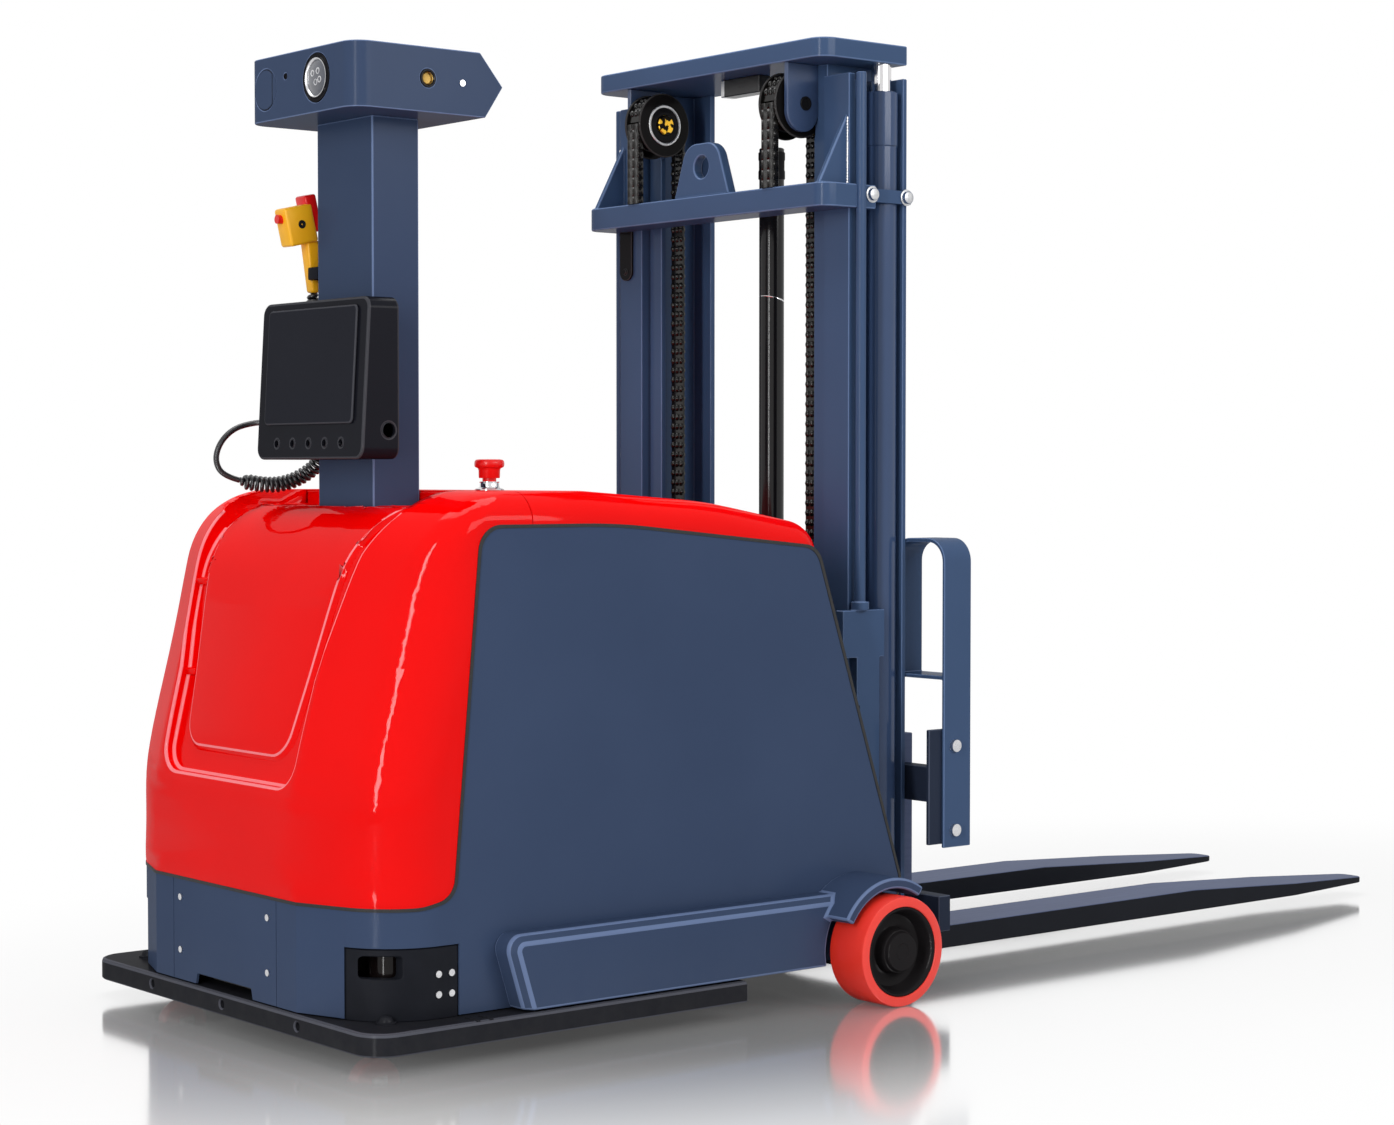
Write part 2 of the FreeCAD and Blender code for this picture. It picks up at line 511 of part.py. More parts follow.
def casters():
    """Swivel casters in cup-shaped mounts over the wells of the base plate."""
    well_radius = S.caster_radius + S.caster_trail + S.well_clearance
    cup_outer, cup_top = well_radius + S.caster_cup_wall, S.caster_cup_top
    head_top = cup_top - S.caster_cup_wall - S.seat_gap
    pin = S.caster_pin_radius
    cup = turned("caster_cup", "z",
                 [(pin + S.running_gap, cup_top), (pin + S.running_gap, cup_top - S.caster_cup_wall),
                  (well_radius, cup_top - S.caster_cup_wall), (well_radius, S.plate_top),
                  (cup_outer, S.plate_top), (cup_outer, cup_top)], S.caster_x, S.caster_y)
    piece("caster_mounts", both("caster_cups", cup))
    fork_x = S.caster_x - S.caster_trail
    inner = S.caster_width / 2 + S.caster_side_gap
    head_low = head_top - S.caster_head
    kingpin = rod("caster_kingpin", "z", pin, head_low, cup_top, S.caster_x, S.caster_y)
    head = block("caster_crown", (fork_x - S.caster_cheek_half, S.caster_x + S.caster_cheek_half),
                 (S.caster_y - inner - S.caster_fork_wall, S.caster_y + inner + S.caster_fork_wall),
                 (head_low, head_top))
    cheeks = [block(f"caster_cheek_{i}", (fork_x - S.caster_cheek_half, fork_x + S.caster_cheek_half),
                    (S.caster_y + low, S.caster_y + high), (S.caster_radius - S.caster_cheek_half, head_low))
              for i, (low, high) in enumerate([(inner, inner + S.caster_fork_wall),
                                               (-inner - S.caster_fork_wall, -inner)])]
    axle = rod("caster_axle", "y", pin, S.caster_y - inner, S.caster_y + inner, fork_x, z=S.caster_radius)
    pair("caster_fork", fuse("caster_fork_fused", kingpin, head, axle, *cheeks))
    half = S.caster_width / 2
    pair("caster_wheel", turned("caster_wheel_turned", "y",
                                [(pin + S.running_gap, -half), (S.caster_radius, -half, S.drive_edge),
                                 (S.caster_radius, half, S.drive_edge), (pin + S.running_gap, half)],
                                fork_x, S.caster_y, S.caster_radius))


def load_wheels():
    """Fixed through axle and the two large load wheels: dished hub with a cap, and a red tyre."""
    face = WHEEL_FACE
    piece("load_axle", rod("load_axle_rod", "y", S.axle_radius, -face + S.axle_end_gap,
                           face - S.axle_end_gap, S.wheel_x, z=S.wheel_radius))
    rim, bore = S.wheel_radius - S.tread_depth, S.axle_radius + S.running_gap
    inner_face, dish = -S.wheel_width, -S.wheel_dish
    hub = turned("load_hub", "y",
                 [(0, -S.axle_cap_wall), (bore, -S.axle_cap_wall), (bore, inner_face),
                  (rim, inner_face), (rim, -S.rim_step), (S.rim_lip, -S.rim_step), (S.rim_lip, dish),
                  (S.wheel_cap_radius + S.rim_step, dish), (S.wheel_cap_radius, -S.rim_step),
                  (S.wheel_cap_radius - S.rim_step, 0), (0, 0)], S.wheel_x, face, S.wheel_radius)
    tyre = turned("load_tyre", "y",
                  [(rim, inner_face), (S.wheel_radius, inner_face, S.drive_edge),
                   (S.wheel_radius, 0, S.drive_edge), (rim, 0)], S.wheel_x, face, S.wheel_radius)
    wheel = add("Part::Compound", "load_wheel_solids")
    wheel.Links = [hub, tyre]
    pair("load_wheel", wheel)


# ---------------------------------------------------------------- hood, covers and side panels

def nose_wire(height, front, narrowing, corner, back):
    """One level of the hood: flat front, two slanted facets, rounded corners and straight sides."""
    slant = math.atan2(sheet.nose_setback, sheet.body_half - sheet.nose_half)
    half = sheet.body_half - narrowing
    front_half = sheet.nose_half - narrowing * math.tan(slant / 2)
    turn_x = front + (half - front_half) * math.tan(slant)
    reach = corner * math.tan((math.pi / 2 - slant) / 2)
    lean = (slant + math.pi / 2) / 2
    centre = Vector(turn_x + reach, half - corner, height)
    front_far = Vector(front, front_half, height)
    facet_end = Vector(turn_x - reach * math.sin(slant), half - reach * math.cos(slant), height)
    middle = centre + Vector(-math.cos(lean), math.sin(lean), 0) * corner
    side_start = Vector(turn_x + reach, half, height)
    back_far = Vector(back, half, height)
    far_side = [front_far, facet_end, middle, side_start, back_far]
    front_near, near_end, near_middle, near_start, back_near = [Vector(p.x, -p.y, p.z) for p in far_side]
    edges = [Part.LineSegment(front_near, front_far), Part.LineSegment(front_far, facet_end),
             Part.Arc(facet_end, middle, side_start), Part.LineSegment(side_start, back_far),
             Part.LineSegment(back_far, back_near), Part.LineSegment(back_near, near_start),
             Part.Arc(near_start, near_middle, near_end), Part.LineSegment(near_end, front_near)]
    return Part.Wire([edge.toShape() for edge in edges])


def brow_setback(z):
    """How far the front face has moved back at a height: upright, then leaning, then rounded over."""
    slope = sheet.lean_slope
    start, blend = sheet.lean_start, sheet.lean_blend
    top, radius = sheet.hood_top, sheet.brow_radius
    tilt = math.atan(slope)
    round_start = top - radius + radius * math.sin(tilt)
    if z <= start - blend:
        return 0
    if z < start + blend:
        return slope * (z - start + blend) ** 2 / (4 * blend)
    if z <= round_start:
        return slope * (z - start)
    rise = min(1, (z - top + radius) / radius)
    middle = slope * (round_start - start) + radius * math.cos(tilt)
    return middle - radius * math.sqrt(1 - rise ** 2)


def shoulder_inset(z):
    """How far the sides have come in at a height, where the shoulders round over to the top."""
    radius = sheet.shoulder_radius
    rise = max(0, z - sheet.hood_top + radius)
    return radius - math.sqrt(max(0, radius ** 2 - rise ** 2))


def hood_form(name, inset, drop, past):
    """The closed form of the hood, its skin moved in by inset and down by drop."""
    top, ease = sheet.hood_top, sheet.brow_radius
    start, blend = sheet.lean_start, sheet.lean_blend
    levels = [sheet.fascia_top - drop, start - 2 * blend, start - blend, start, start + blend]
    levels += [top - ease * share for share in BROW_LEVELS]
    wires = []
    for z in levels:
        share = min(1, max(0, (z - top + ease) / ease))
        corner = sheet.nose_radius + (sheet.crown_radius - sheet.nose_radius) * share - inset
        front = sheet.body_front + brow_setback(z) + inset
        wires.append(nose_wire(z - drop, front, inset + shoulder_inset(z), corner, sheet.hood_seam + past))
    form = add("Part::Feature", name)
    form.Shape = Part.makeLoft(wires, True, False)
    return form


def grey_region(name, gap):
    """The side view that the grey panels cover, grown by a gap, right across the truck."""
    past = S.panel_bottom
    outline = [(-MARGIN, past), (-MARGIN, S.fascia_top + gap),
               (S.nose_radius, S.fascia_top + gap, S.nose_radius),
               (S.panel_front_low - gap, S.panel_lift + gap, S.panel_low_corner),
               (S.panel_front_high - gap, S.panel_top + gap, S.panel_corner),
               (S.panel_fall_x, S.panel_top + gap, S.panel_fall_radius),
               (S.panel_tail_x + gap, S.panel_tail_top + gap, S.panel_corner),
               (S.panel_tail_low_x + gap, S.panel_tail_low_z), (S.panel_heel_x, past)]
    return prism(name, "XZ", outline, -PLATE_HALF, PLATE_HALF)


def body_skin():
    """The full-height wall of the body in plan, one panel thick."""
    rear = S.mast_back
    def walls(name, inset):
        front = S.body_front + inset
        half = S.body_half - inset
        turn = front + S.nose_setback
        outline = [(front, -(S.nose_half - inset * NOSE_SHARE)), (front, S.nose_half - inset * NOSE_SHARE),
                   (turn, half, S.nose_radius - inset), (rear, half), (rear, -half),
                   (turn, -half, S.nose_radius - inset)]
        return prism(name, "XY", outline, S.plate_top, S.hood_top)
    return cut("body_skin", walls("skin_outer", length(0)), walls("skin_inner", S.panel_wall))


def side_panels(skin, region):
    """Side panels that wrap round the nose, the access panel between them and the rubber seal."""
    whole = common("panel_ring", skin, region)
    gate = block("access_gate", (-MARGIN, S.nose_setback), (-S.access_half - S.access_gap, S.access_half + S.access_gap),
                 (0, S.hood_top))
    split = block("side_split", (-MARGIN, S.mast_back + MARGIN), (0, PLATE_HALF), (0, S.hood_top))
    pocket = block("scanner_pocket", (S.pocket_front, S.pocket_back), (S.nose_half, PLATE_HALF),
                   (0, S.pocket_top))
    axle_hole = rod("axle_hole", "y", S.axle_boss, 0, PLATE_HALF, S.wheel_x, z=S.wheel_radius)
    far = cut("side_panel_cut", common("side_panel_half", whole, split), gate, pocket, axle_hole)
    pair("side_panel", far)
    window = block("access_window", (-MARGIN, S.nose_setback), (-S.access_half, S.access_half),
                   (S.plate_top, S.hood_top))
    notch = prism("cable_notch", "YZ",
                  [(-S.notch_half, 0), (S.notch_half, 0), (S.notch_top_half, S.plate_top + S.notch_height),
                   (-S.notch_top_half, S.plate_top + S.notch_height)], -MARGIN, S.nose_setback)
    piece("front_access_panel", cut("access_panel_cut", common("access_panel_blank", whole, window), notch))
    seal_band = cut("seal_band", grey_region("seal_outer", S.seam_gap), region)
    piece("panel_seal", common("panel_seal_ring", skin, seal_band))


def front_hood():
    """Moulded hood: a lofted shell with a sunken U-shaped panel that the tower stands in."""
    wall, depth, drop = sheet.hood_wall, sheet.recess_depth, sheet.recess_drop
    outer = hood_form("hood_outer", 0, 0, 0)
    sunken = hood_form("hood_sunken", depth, drop, MARGIN)
    lining = hood_form("hood_lining", wall, wall, MARGIN)
    low_lining = hood_form("hood_low_lining", depth + wall, drop + wall, MARGIN)

    def bib(name, grow):
        rows = [(S.recess_low_half, S.recess_bottom - grow, S.recess_corner),
                (S.recess_mid_half, S.recess_mid_z), (S.recess_high_half, S.recess_high_z),
                (S.recess_top_half, S.hood_top - S.recess_drop), (S.recess_top_half, S.hood_top + MARGIN)]
        right = [(half + grow, *rest) for half, *rest in rows]
        left = [(-half, *rest) for half, *rest in reversed(right)]
        return prism(name, "YZ", right + left, -MARGIN, S.hood_seam + MARGIN + MARGIN)
    recess = cut("hood_recess", bib("bib_outer", length(0)), sunken)
    backing = cut("hood_backing", bib("bib_inner", S.hood_wall), low_lining)
    cavity = cut("hood_cavity", lining, backing)
    tower_hole = block("tower_hole", (S.tower_front - S.cover_gap, S.hood_seam + MARGIN),
                       (-S.tower_half - S.cover_gap, S.tower_half + S.cover_gap),
                       (S.tower_foot_z, S.hood_top + MARGIN))
    edge = grey_region("hood_edge", S.seam_gap)
    piece("front_hood", cut("hood_cut", outer, recess, cavity, tower_hole, edge))


def rear_cover():
    """Rear top cover: a shell with round shoulders whose crest falls towards the mast."""
    low, seam = S.panel_tail_top - S.cover_drop, S.hood_seam + S.cover_gap

    def form(name, inset, start, bottom):
        high, half = S.hood_top - inset, S.body_half - inset
        outline = [(start, bottom), (start, high), (S.cover_crest_end, high, S.cover_crest_radius),
                   (S.cover_bend_x, S.cover_bend_z - inset, S.cover_bend_radius),
                   (S.cover_end - inset, S.cover_end_top - inset, S.cover_end_radius - inset),
                   (S.cover_end - inset, bottom)]
        body = prism(name, "XZ", outline, -half, half)

        def shoulder(edge):
            on_side = abs(edge.Vertexes[0].Point.y - edge.Vertexes[-1].Point.y) < 0.01
            return on_side and min(v.Point.z for v in edge.Vertexes) > bottom.value + 1
        return dress(body, "Fillet", "Radius", S.shoulder_radius - inset, shoulder)
    shell = cut("cover_shell", form("cover_outer", length(0), seam, low),
                form("cover_inner", S.hood_wall, seam - MARGIN, low - MARGIN))
    edge = grey_region("cover_edge", S.seam_gap)
    stem = rod("stop_hole", "z", S.stop_neck_radius + S.seat_gap, S.panel_top, S.hood_top + MARGIN,
               S.stop_x, -S.stop_y)
    piece("rear_top_cover", cut("cover_cut", shell, edge, stem))


def fenders():
    """Long bevelled pods on the side panels, ending in the arches over the load wheels."""
    inner, outer = S.body_half, PLATE_HALF
    pod = prism("fender_pod", "XZ",
                [(S.fender_front, S.fender_top, S.fender_corner), (S.fender_end, S.fender_top),
                 (S.fender_end, S.fender_bottom), (S.fender_front + S.fender_rake, S.fender_bottom)],
                inner, outer)
    low_edge, back_edge = S.fender_bottom.value + 1, S.fender_end.value - 1
    def rim(edge):
        in_face = all(abs(v.Point.y) < 0.01 for v in edge.Vertexes)
        raised = max(v.Point.z for v in edge.Vertexes) > low_edge
        ahead = min(v.Point.x for v in edge.Vertexes) < back_edge
        return in_face and raised and ahead
    dress(pod, "Chamfer", "Size", S.fender_bevel, rim)
    arch_outer = S.arch_inner + S.arch_wall
    ring = turned("arch_ring", "y",
                  [(S.arch_inner, -(ARCH_HALF - inner)), (arch_outer, -(ARCH_HALF - inner)),
                   (arch_outer, 0), (S.arch_inner, 0)], S.wheel_x, ARCH_HALF, S.wheel_radius)
    reach = arch_outer + MARGIN
    keep = prism("arch_keep", "XZ",
                 [(S.wheel_x - reach, S.wheel_radius + S.arch_front_rise), (S.wheel_x, S.wheel_radius),
                  (S.wheel_x + reach, S.wheel_radius + S.arch_rear_rise), (S.wheel_x + reach, S.hood_top / 2),
                  (S.wheel_x - reach, S.hood_top / 2)], inner, ARCH_HALF)
    clear = rod("arch_clear", "y", S.arch_inner, inner - MARGIN, outer + MARGIN, S.wheel_x, z=S.wheel_radius)
    arch = common("arch_band", ring, keep)
    pair("fender", fuse("fender_fused", cut("fender_pod_cut", pod, clear), arch))


def scanners():
    """Black scanner housings in the nose pockets and the laser scanners behind their windows."""
    def shell(name, inset):
        front, half = S.body_front + inset, S.body_half - inset
        turn = front + S.nose_setback
        outline = [(front, S.nose_half - inset * NOSE_SHARE), (turn, half, S.nose_radius - inset),
                   (S.mast_front, half), (S.mast_front, 0), (front, 0)]
        return prism(name, "XY", outline, S.plate_top, S.pocket_top - S.pocket_gap)
    ring = cut("housing_ring", shell("housing_outer", S.pocket_gap), shell("housing_inner", S.housing_wall))
    bay = block("housing_bay", (S.pocket_front + S.pocket_gap, S.pocket_back - S.pocket_gap),
                (S.nose_half, PLATE_HALF), (0, S.pocket_top))
    cup_clear = rod("housing_cup_clear", "z", S.caster_radius + S.caster_trail + S.well_clearance
                    + S.caster_cup_wall + S.seat_gap, 0, S.caster_cup_top + S.seat_gap, S.caster_x, S.caster_y)
    eye = prism("housing_eye", "XZ",
                [(S.window_front, S.window_low, S.window_corner), (S.window_back, S.window_low, S.window_corner),
                 (S.window_back, S.window_top, S.window_corner), (S.window_front, S.window_top, S.window_corner)],
                S.nose_half, PLATE_HALF)
    housing = cut("housing_cut", common("housing_blank", ring, bay), eye, cup_clear)
    piece("scanner_housings", both("scanner_housing_pair", housing))
    body = rod("scanner_body", "z", S.scanner_radius, S.caster_cup_top, S.scanner_top, S.scanner_x, S.scanner_y)
    piece("laser_scanners", both("scanner_pair", body))


# ---------------------------------------------------------------- sensor tower and head

def sensor_tower():
    """Square tower tube that stands in the sunken panel of the hood, and the sensor head on it."""
    def column(name, inset, low, high):
        return block(name, (S.tower_front + inset, S.tower_front + S.tower_depth - inset),
                     (-S.tower_half + inset, S.tower_half - inset), (low, high))
    piece("sensor_tower", cut("tower_tube", column("tower_outer", 0, S.tower_foot_z, S.tower_top),
                              column("tower_inner", S.tower_wall, S.tower_foot_z - MARGIN, S.tower_top + MARGIN)))


def sensor_head():
    """Head housing with a chisel-shaped tail, and the sensors set in its front and side."""
    top = S.tower_top + S.head_height
    def form(name, inset, low):
        half = S.head_half - inset
        outline = [(S.head_front + inset, low), (S.head_front + inset, top - inset),
                   (S.head_top_back - inset, top - inset), (S.head_point_x - inset, S.head_point_z),
                   (S.head_low_back - inset, low)]
        body = prism(name, "XZ", outline, -half, half)
        def front_corner(edge):
            return all(abs(v.Point.x - (S.head_front + inset).value) < 0.01 for v in edge.Vertexes) and \
                abs(edge.Vertexes[0].Point.y - edge.Vertexes[-1].Point.y) < 0.01
        return dress(body, "Fillet", "Radius", S.head_corner - inset, front_corner)
    shell = cut("head_shell", form("head_outer", length(0), S.tower_top),
                form("head_inner", S.head_wall, S.tower_top + S.head_floor))
    lens_seat = rod("lens_seat", "x", S.lens_radius, S.head_front - MARGIN, S.head_front + S.head_wall + MARGIN,
                    y=-S.lens_y, z=S.lens_z)
    disc_seat = rod("disc_seat", "x", S.disc_radius, S.head_front - MARGIN, S.head_front + S.head_wall + MARGIN,
                    y=S.disc_y, z=S.head_point_z)
    eye_seat = rod("eye_seat", "x", S.eye_radius, S.head_front - MARGIN, S.head_front + S.head_wall + MARGIN,
                   y=S.eye_y, z=S.eye_z)
    side_seat = rod("side_eye_seat", "y", S.side_eye_radius, -S.head_half - MARGIN, -S.head_half + S.head_wall + MARGIN,
                    S.side_eye_x, z=S.side_eye_z)
    piece("sensor_head", cut("head_cut", shell, lens_seat, disc_seat, eye_seat, side_seat))
    seat = S.head_front + S.head_wall
    front = -(S.head_wall + S.lens_proud)
    lens = turned("camera_turned", "x",
                  [(0, 0), (S.lens_radius, 0), (S.lens_radius, front), (S.lens_radius - S.lens_rim, front),
                   (S.lens_glass, -S.lens_proud), (0, -S.lens_proud)], seat, -S.lens_y, S.lens_z)
    disc = rod("round_cover", "x", S.disc_radius, S.head_front, seat, y=S.disc_y, z=S.head_point_z)
    eye = rod("eye_window", "x", S.eye_radius, S.head_front, seat, y=S.eye_y, z=S.eye_z)
    side = cut("side_eye_ring",
               rod("side_eye_outer", "y", S.side_eye_radius, -S.head_half - S.lens_proud, -S.head_half + S.head_wall,
                   S.side_eye_x, z=S.side_eye_z),
               rod("side_eye_bore", "y", S.side_eye_bore, -S.head_half - MARGIN, -S.head_half + S.lens_proud,
                   S.side_eye_x, z=S.side_eye_z))
    piece("head_sensors", lens, disc, eye, side)


def control_box():
    """Slanted operator box on the tower with a raised screen plate, five front holes and a lock."""
    back, wall = S.tower_front, S.box_wall

    def front_at(z):
        return S.box_front_low + (S.box_front_top - S.box_front_low) * (z - S.box_bottom) / (S.box_top - S.box_bottom)

    def corner(edge):
        same_side = abs(edge.Vertexes[0].Point.y - edge.Vertexes[-1].Point.y) < 0.01
        level = abs(edge.Vertexes[0].Point.z - edge.Vertexes[-1].Point.z) < 0.01
        return same_side and level

    def form(name, inset):
        outline = [(S.box_front_low + inset, S.box_bottom + inset), (back - inset, S.box_bottom + inset),
                   (back - inset, S.box_top - inset), (S.box_front_top + inset, S.box_top - inset)]
        body = prism(name, "XZ", outline, -S.box_half + inset, S.box_half - inset)
        return dress(body, "Fillet", "Radius", S.box_corner - inset, corner)
    holes = [rod(f"box_hole_{i + 3}", "x", S.box_hole_radius, S.box_front_low - MARGIN,
                 S.box_front_low + S.box_hole_depth, y=S.box_hole_pitch * i, z=S.box_hole_z) for i in range(-2, 3)]
    lock = rod("box_lock", "y", S.box_side_hole_radius, -S.box_half - MARGIN, -S.box_half + S.box_hole_depth,
               S.box_side_hole_x, z=S.box_side_hole_z)
    piece("control_box", cut("box_cut", form("box_outer", length(0)), form("box_inner", wall), lock, *holes))
    front_low, front_top = front_at(S.screen_low), front_at(S.screen_top)
    screen = prism("screen_plate", "XZ",
                   [(front_low - S.screen_thick, S.screen_low), (front_low, S.screen_low),
                    (front_top, S.screen_top), (front_top - S.screen_thick, S.screen_top)],
                   -S.screen_half, S.screen_half)
    dress(screen, "Fillet", "Radius", S.box_corner / 2, corner)
    piece("control_screen", screen)


# ---------------------------------------------------------------- operator pieces

def cord(name, radius, points):
    """A round cord along straight runs joined by tangent arcs; returns it and its arc radii."""
    runs, radii = [], []
    start = points[0]
    for before, corner, after in zip(points, points[1:], points[2:]):
        turn = (corner - before).getAngle(after - corner)
        shorter = min((corner - before).Length, (after - corner).Length)
        radius_here = ARC_SHARE * shorter / math.tan(turn / 2)
        first, last, middle = corner_arc(before, corner, after, radius_here)
        runs += [Part.LineSegment(start, first), Part.Arc(first, middle, last)]
        radii.append(radius_here)
        start = last
    runs.append(Part.LineSegment(start, points[-1]))
    path = Part.Wire([run.toShape() for run in runs])
    ring = Part.Wire([Part.makeCircle(radius, points[0], points[1] - points[0])])
    tube = path.makePipeShell([ring], True, False, 2)
    wanted = math.pi * radius ** 2 * path.Length
    print(f"{name}: length {path.Length:.1f}, least arc radius {min(radii):.1f}, "
          f"volume {tube.Volume / wanted:.4f} of section times length")
    solid = add("Part::Feature", name)
    solid.Shape = tube
    return solid


def pendant_and_cord():
    """Hand control on the tower's far side with its holder, button and hanging curly cord."""
    box_side = S.box_half
    piece("cord_gland", rod("gland_rod", "y", S.gland_radius, box_side, box_side + S.gland_length,
                            S.gland_x, z=S.gland_z))
    exit_point = Vector(sheet.gland_x, sheet.box_half + sheet.gland_length, sheet.gland_z)
    plug = Vector(sheet.grip_back - sheet.curl_radius / 2, sheet.pendant_y, sheet.grip_low)
    lead = [exit_point + Vector(*step) for step in LEAD_STEPS]
    curl = [plug + Vector(*step) for step in CURL_STEPS]
    piece("cord_lead", cord("lead_tube", sheet.cord_radius, lead + [curl[0]]))
    piece("cord_curly", cord("curly_tube", sheet.curl_radius, curl))
    middle = S.pendant_y
    grip = block("pendant_grip", (S.grip_front, S.grip_back), (middle - S.grip_half, middle + S.grip_half),
                 (S.grip_low, S.pendant_head_low + MARGIN))
    head = prism("pendant_head", "XZ",
                 [(S.pendant_head_front, S.pendant_head_low, S.cord_radius),
                  (S.pendant_head_back, S.pendant_head_low), (S.pendant_head_back, S.pendant_head_top),
                  (S.pendant_head_front, S.pendant_head_top, S.cord_radius)],
                 middle - S.pendant_half, middle + S.pendant_half)
    hook = block("pendant_hook", (S.pendant_hook_front, S.pendant_hook_back),
                 (middle - S.grip_half, middle + S.grip_half), (S.pendant_hook_low, S.pendant_hook_top))
    hole = rod("pendant_hole", "y", S.pendant_hole_radius, middle - S.pendant_half - MARGIN,
               middle - S.grip_half, S.pendant_hole_x, z=S.pendant_hole_z)
    button_in = S.pendant_head_front + S.pendant_button_in
    socket = rod("button_socket", "x", S.pendant_button_radius + S.seat_gap, S.pendant_head_front - MARGIN,
                 button_in + S.pendant_button_out, y=middle, z=S.pendant_button_z)
    holder = block("pendant_holder", (S.grip_front, S.grip_back), (S.tower_half, middle - S.grip_half),
                   (S.holder_low, S.holder_high))
    piece("pendant", cut("pendant_cut", fuse("pendant_fused", grip, head, hook), hole, socket), holder)
    piece("pendant_button", rod("pendant_button_rod", "x", S.pendant_button_radius,
                                S.pendant_head_front - S.pendant_button_out, button_in,
                                y=middle, z=S.pendant_button_z))


def emergency_stop():
    """Mushroom button on the rear cover that slides in a bright collar."""
    collar = turned("stop_collar", "z",
                    [(S.stop_neck_radius + S.seat_gap, 0), (S.stop_collar_radius, 0),
                     (S.stop_collar_radius, S.stop_collar_height),
                     (S.stop_neck_radius + S.seat_gap, S.stop_collar_height)],
                    S.stop_x, -S.stop_y, S.hood_top)
    piece("estop_collar", collar)
    neck_top, head_top = S.stop_head_low, S.stop_head_top
    button = turned("stop_button", "z",
                    [(0, S.stop_neck_low), (S.stop_neck_radius, S.stop_neck_low), (S.stop_neck_radius, neck_top),
                     (S.stop_head_radius, neck_top), (S.stop_head_radius, head_top, S.stop_head_edge),
                     (0, head_top)], S.stop_x, -S.stop_y)
    piece("estop_button", button)


# ---------------------------------------------------------------- outer mast

def outer_mast():
    """Two channels open to the outside, their tie, stays, lifting lug and nested lift cylinders."""
    front, back = S.mast_front, S.mast_back
    low_y, high_y = S.outer_web_y, S.mast_half
    channel = prism("outer_channel", "XY",
                    [(front, low_y), (back, low_y), (back, high_y), (back - S.outer_rear_flange, high_y),
                     (back - S.outer_rear_flange, low_y + S.outer_web),
                     (front + S.outer_front_flange, low_y + S.outer_web),
                     (front + S.outer_front_flange, high_y), (front, high_y)], S.outer_bottom, OUTER_TOP)
    pad_low = S.inner_web_y + S.inner_web + S.seat_gap
    pads = [block(f"slide_pad_{i}", (S.inner_front + S.pad_inset, S.inner_back - S.pad_inset),
                  (pad_low, low_y), (z, z + S.pad_height))
            for i, z in enumerate((OUTER_TOP - S.pad_low_drop, OUTER_TOP - S.pad_high_drop))]
    piece("outer_channels", both("outer_channel_pair", fuse("outer_channel_pads", channel, *pads)))

    tie = prism("tie_plate", "XY",
                [(S.tie_front, -S.tie_half, S.tie_corner), (S.tie_back, -S.tie_half), (S.tie_back, -high_y),
                 (front, -high_y), (front, high_y), (S.tie_back, high_y), (S.tie_back, S.tie_half),
                 (S.tie_front, S.tie_half, S.tie_corner)], TIE_LOW, TIE_TOP)
    gusset = prism("tie_gusset", "XZ",
                   [(S.gusset_front, TIE_TOP), (front, TIE_TOP), (front, TIE_TOP + S.gusset_height)],
                   S.gusset_y, S.gusset_y + S.gusset_thick)
    rod_hole = rod("tie_rod_hole", "z", S.tie_rod_radius, TIE_LOW - MARGIN, TIE_TOP + MARGIN,
                   S.tie_rod_x, S.tie_rod_y)
    solid = fuse("tie_fused", tie, both("tie_gussets", gusset))
    piece("mast_tie", cut("tie_cut", solid, both("tie_rod_holes", rod_hole)))

    latch_low = TIE_LOW - S.latch_length
    latch = prism("latch_plate", "YZ",
                  [(S.latch_y - S.latch_half, TIE_LOW), (S.latch_y - S.latch_half, latch_low, S.latch_corner),
                   (S.latch_y + S.latch_half, latch_low, S.latch_corner), (S.latch_y + S.latch_half, TIE_LOW)],
                  front - S.latch_thick, front)
    latch_pin = rod("latch_pin", "x", S.latch_pin_radius, front - S.latch_thick - S.latch_pin,
                    front - S.latch_thick, y=S.latch_y, z=latch_low + S.latch_corner)
    piece("mast_latch", fuse("latch_fused", latch, latch_pin))

    lug_hole_z = TIE_TOP + S.lug_hole_height
    lug_top = lug_hole_z + S.lug_eye_radius
    lug = prism("lug_plate", "YZ",
                [(-S.lug_half, TIE_TOP), (S.lug_half, TIE_TOP), (S.lug_eye_radius, lug_top, S.lug_corner),
                 (-S.lug_eye_radius, lug_top, S.lug_corner)], S.lug_front, S.lug_front + S.lug_thick)
    eye = rod("lug_eye", "x", S.lug_hole_radius, S.lug_front - MARGIN, S.lug_front + S.lug_thick + MARGIN,
              z=lug_hole_z)
    piece("lifting_lug", cut("lug_cut", lug, eye))

    stay_y = (high_y, high_y + S.stay_thick)
    bracket = block("stay_bracket", (S.stay_front, S.stay_block_back), stay_y,
                    (S.stay_block_low, S.stay_block_top))
    column = block("stay_column", (S.stay_column_front, S.stay_column_back), stay_y,
                   (S.outer_bottom, S.stay_block_low))
    tie_rod = rod("tie_rod", "z", S.tie_rod_radius, S.stay_block_top, OUTER_TOP, S.tie_rod_x, S.tie_rod_y)
    nut = rod("tie_nut", "z", S.tie_nut_radius, S.stay_block_top, S.stay_block_top + S.tie_nut_height,
              S.tie_rod_x, S.tie_rod_y)
    piece("mast_stays", both("mast_stay_pair", fuse("mast_stay_fused", bracket, column, tie_rod, nut)))


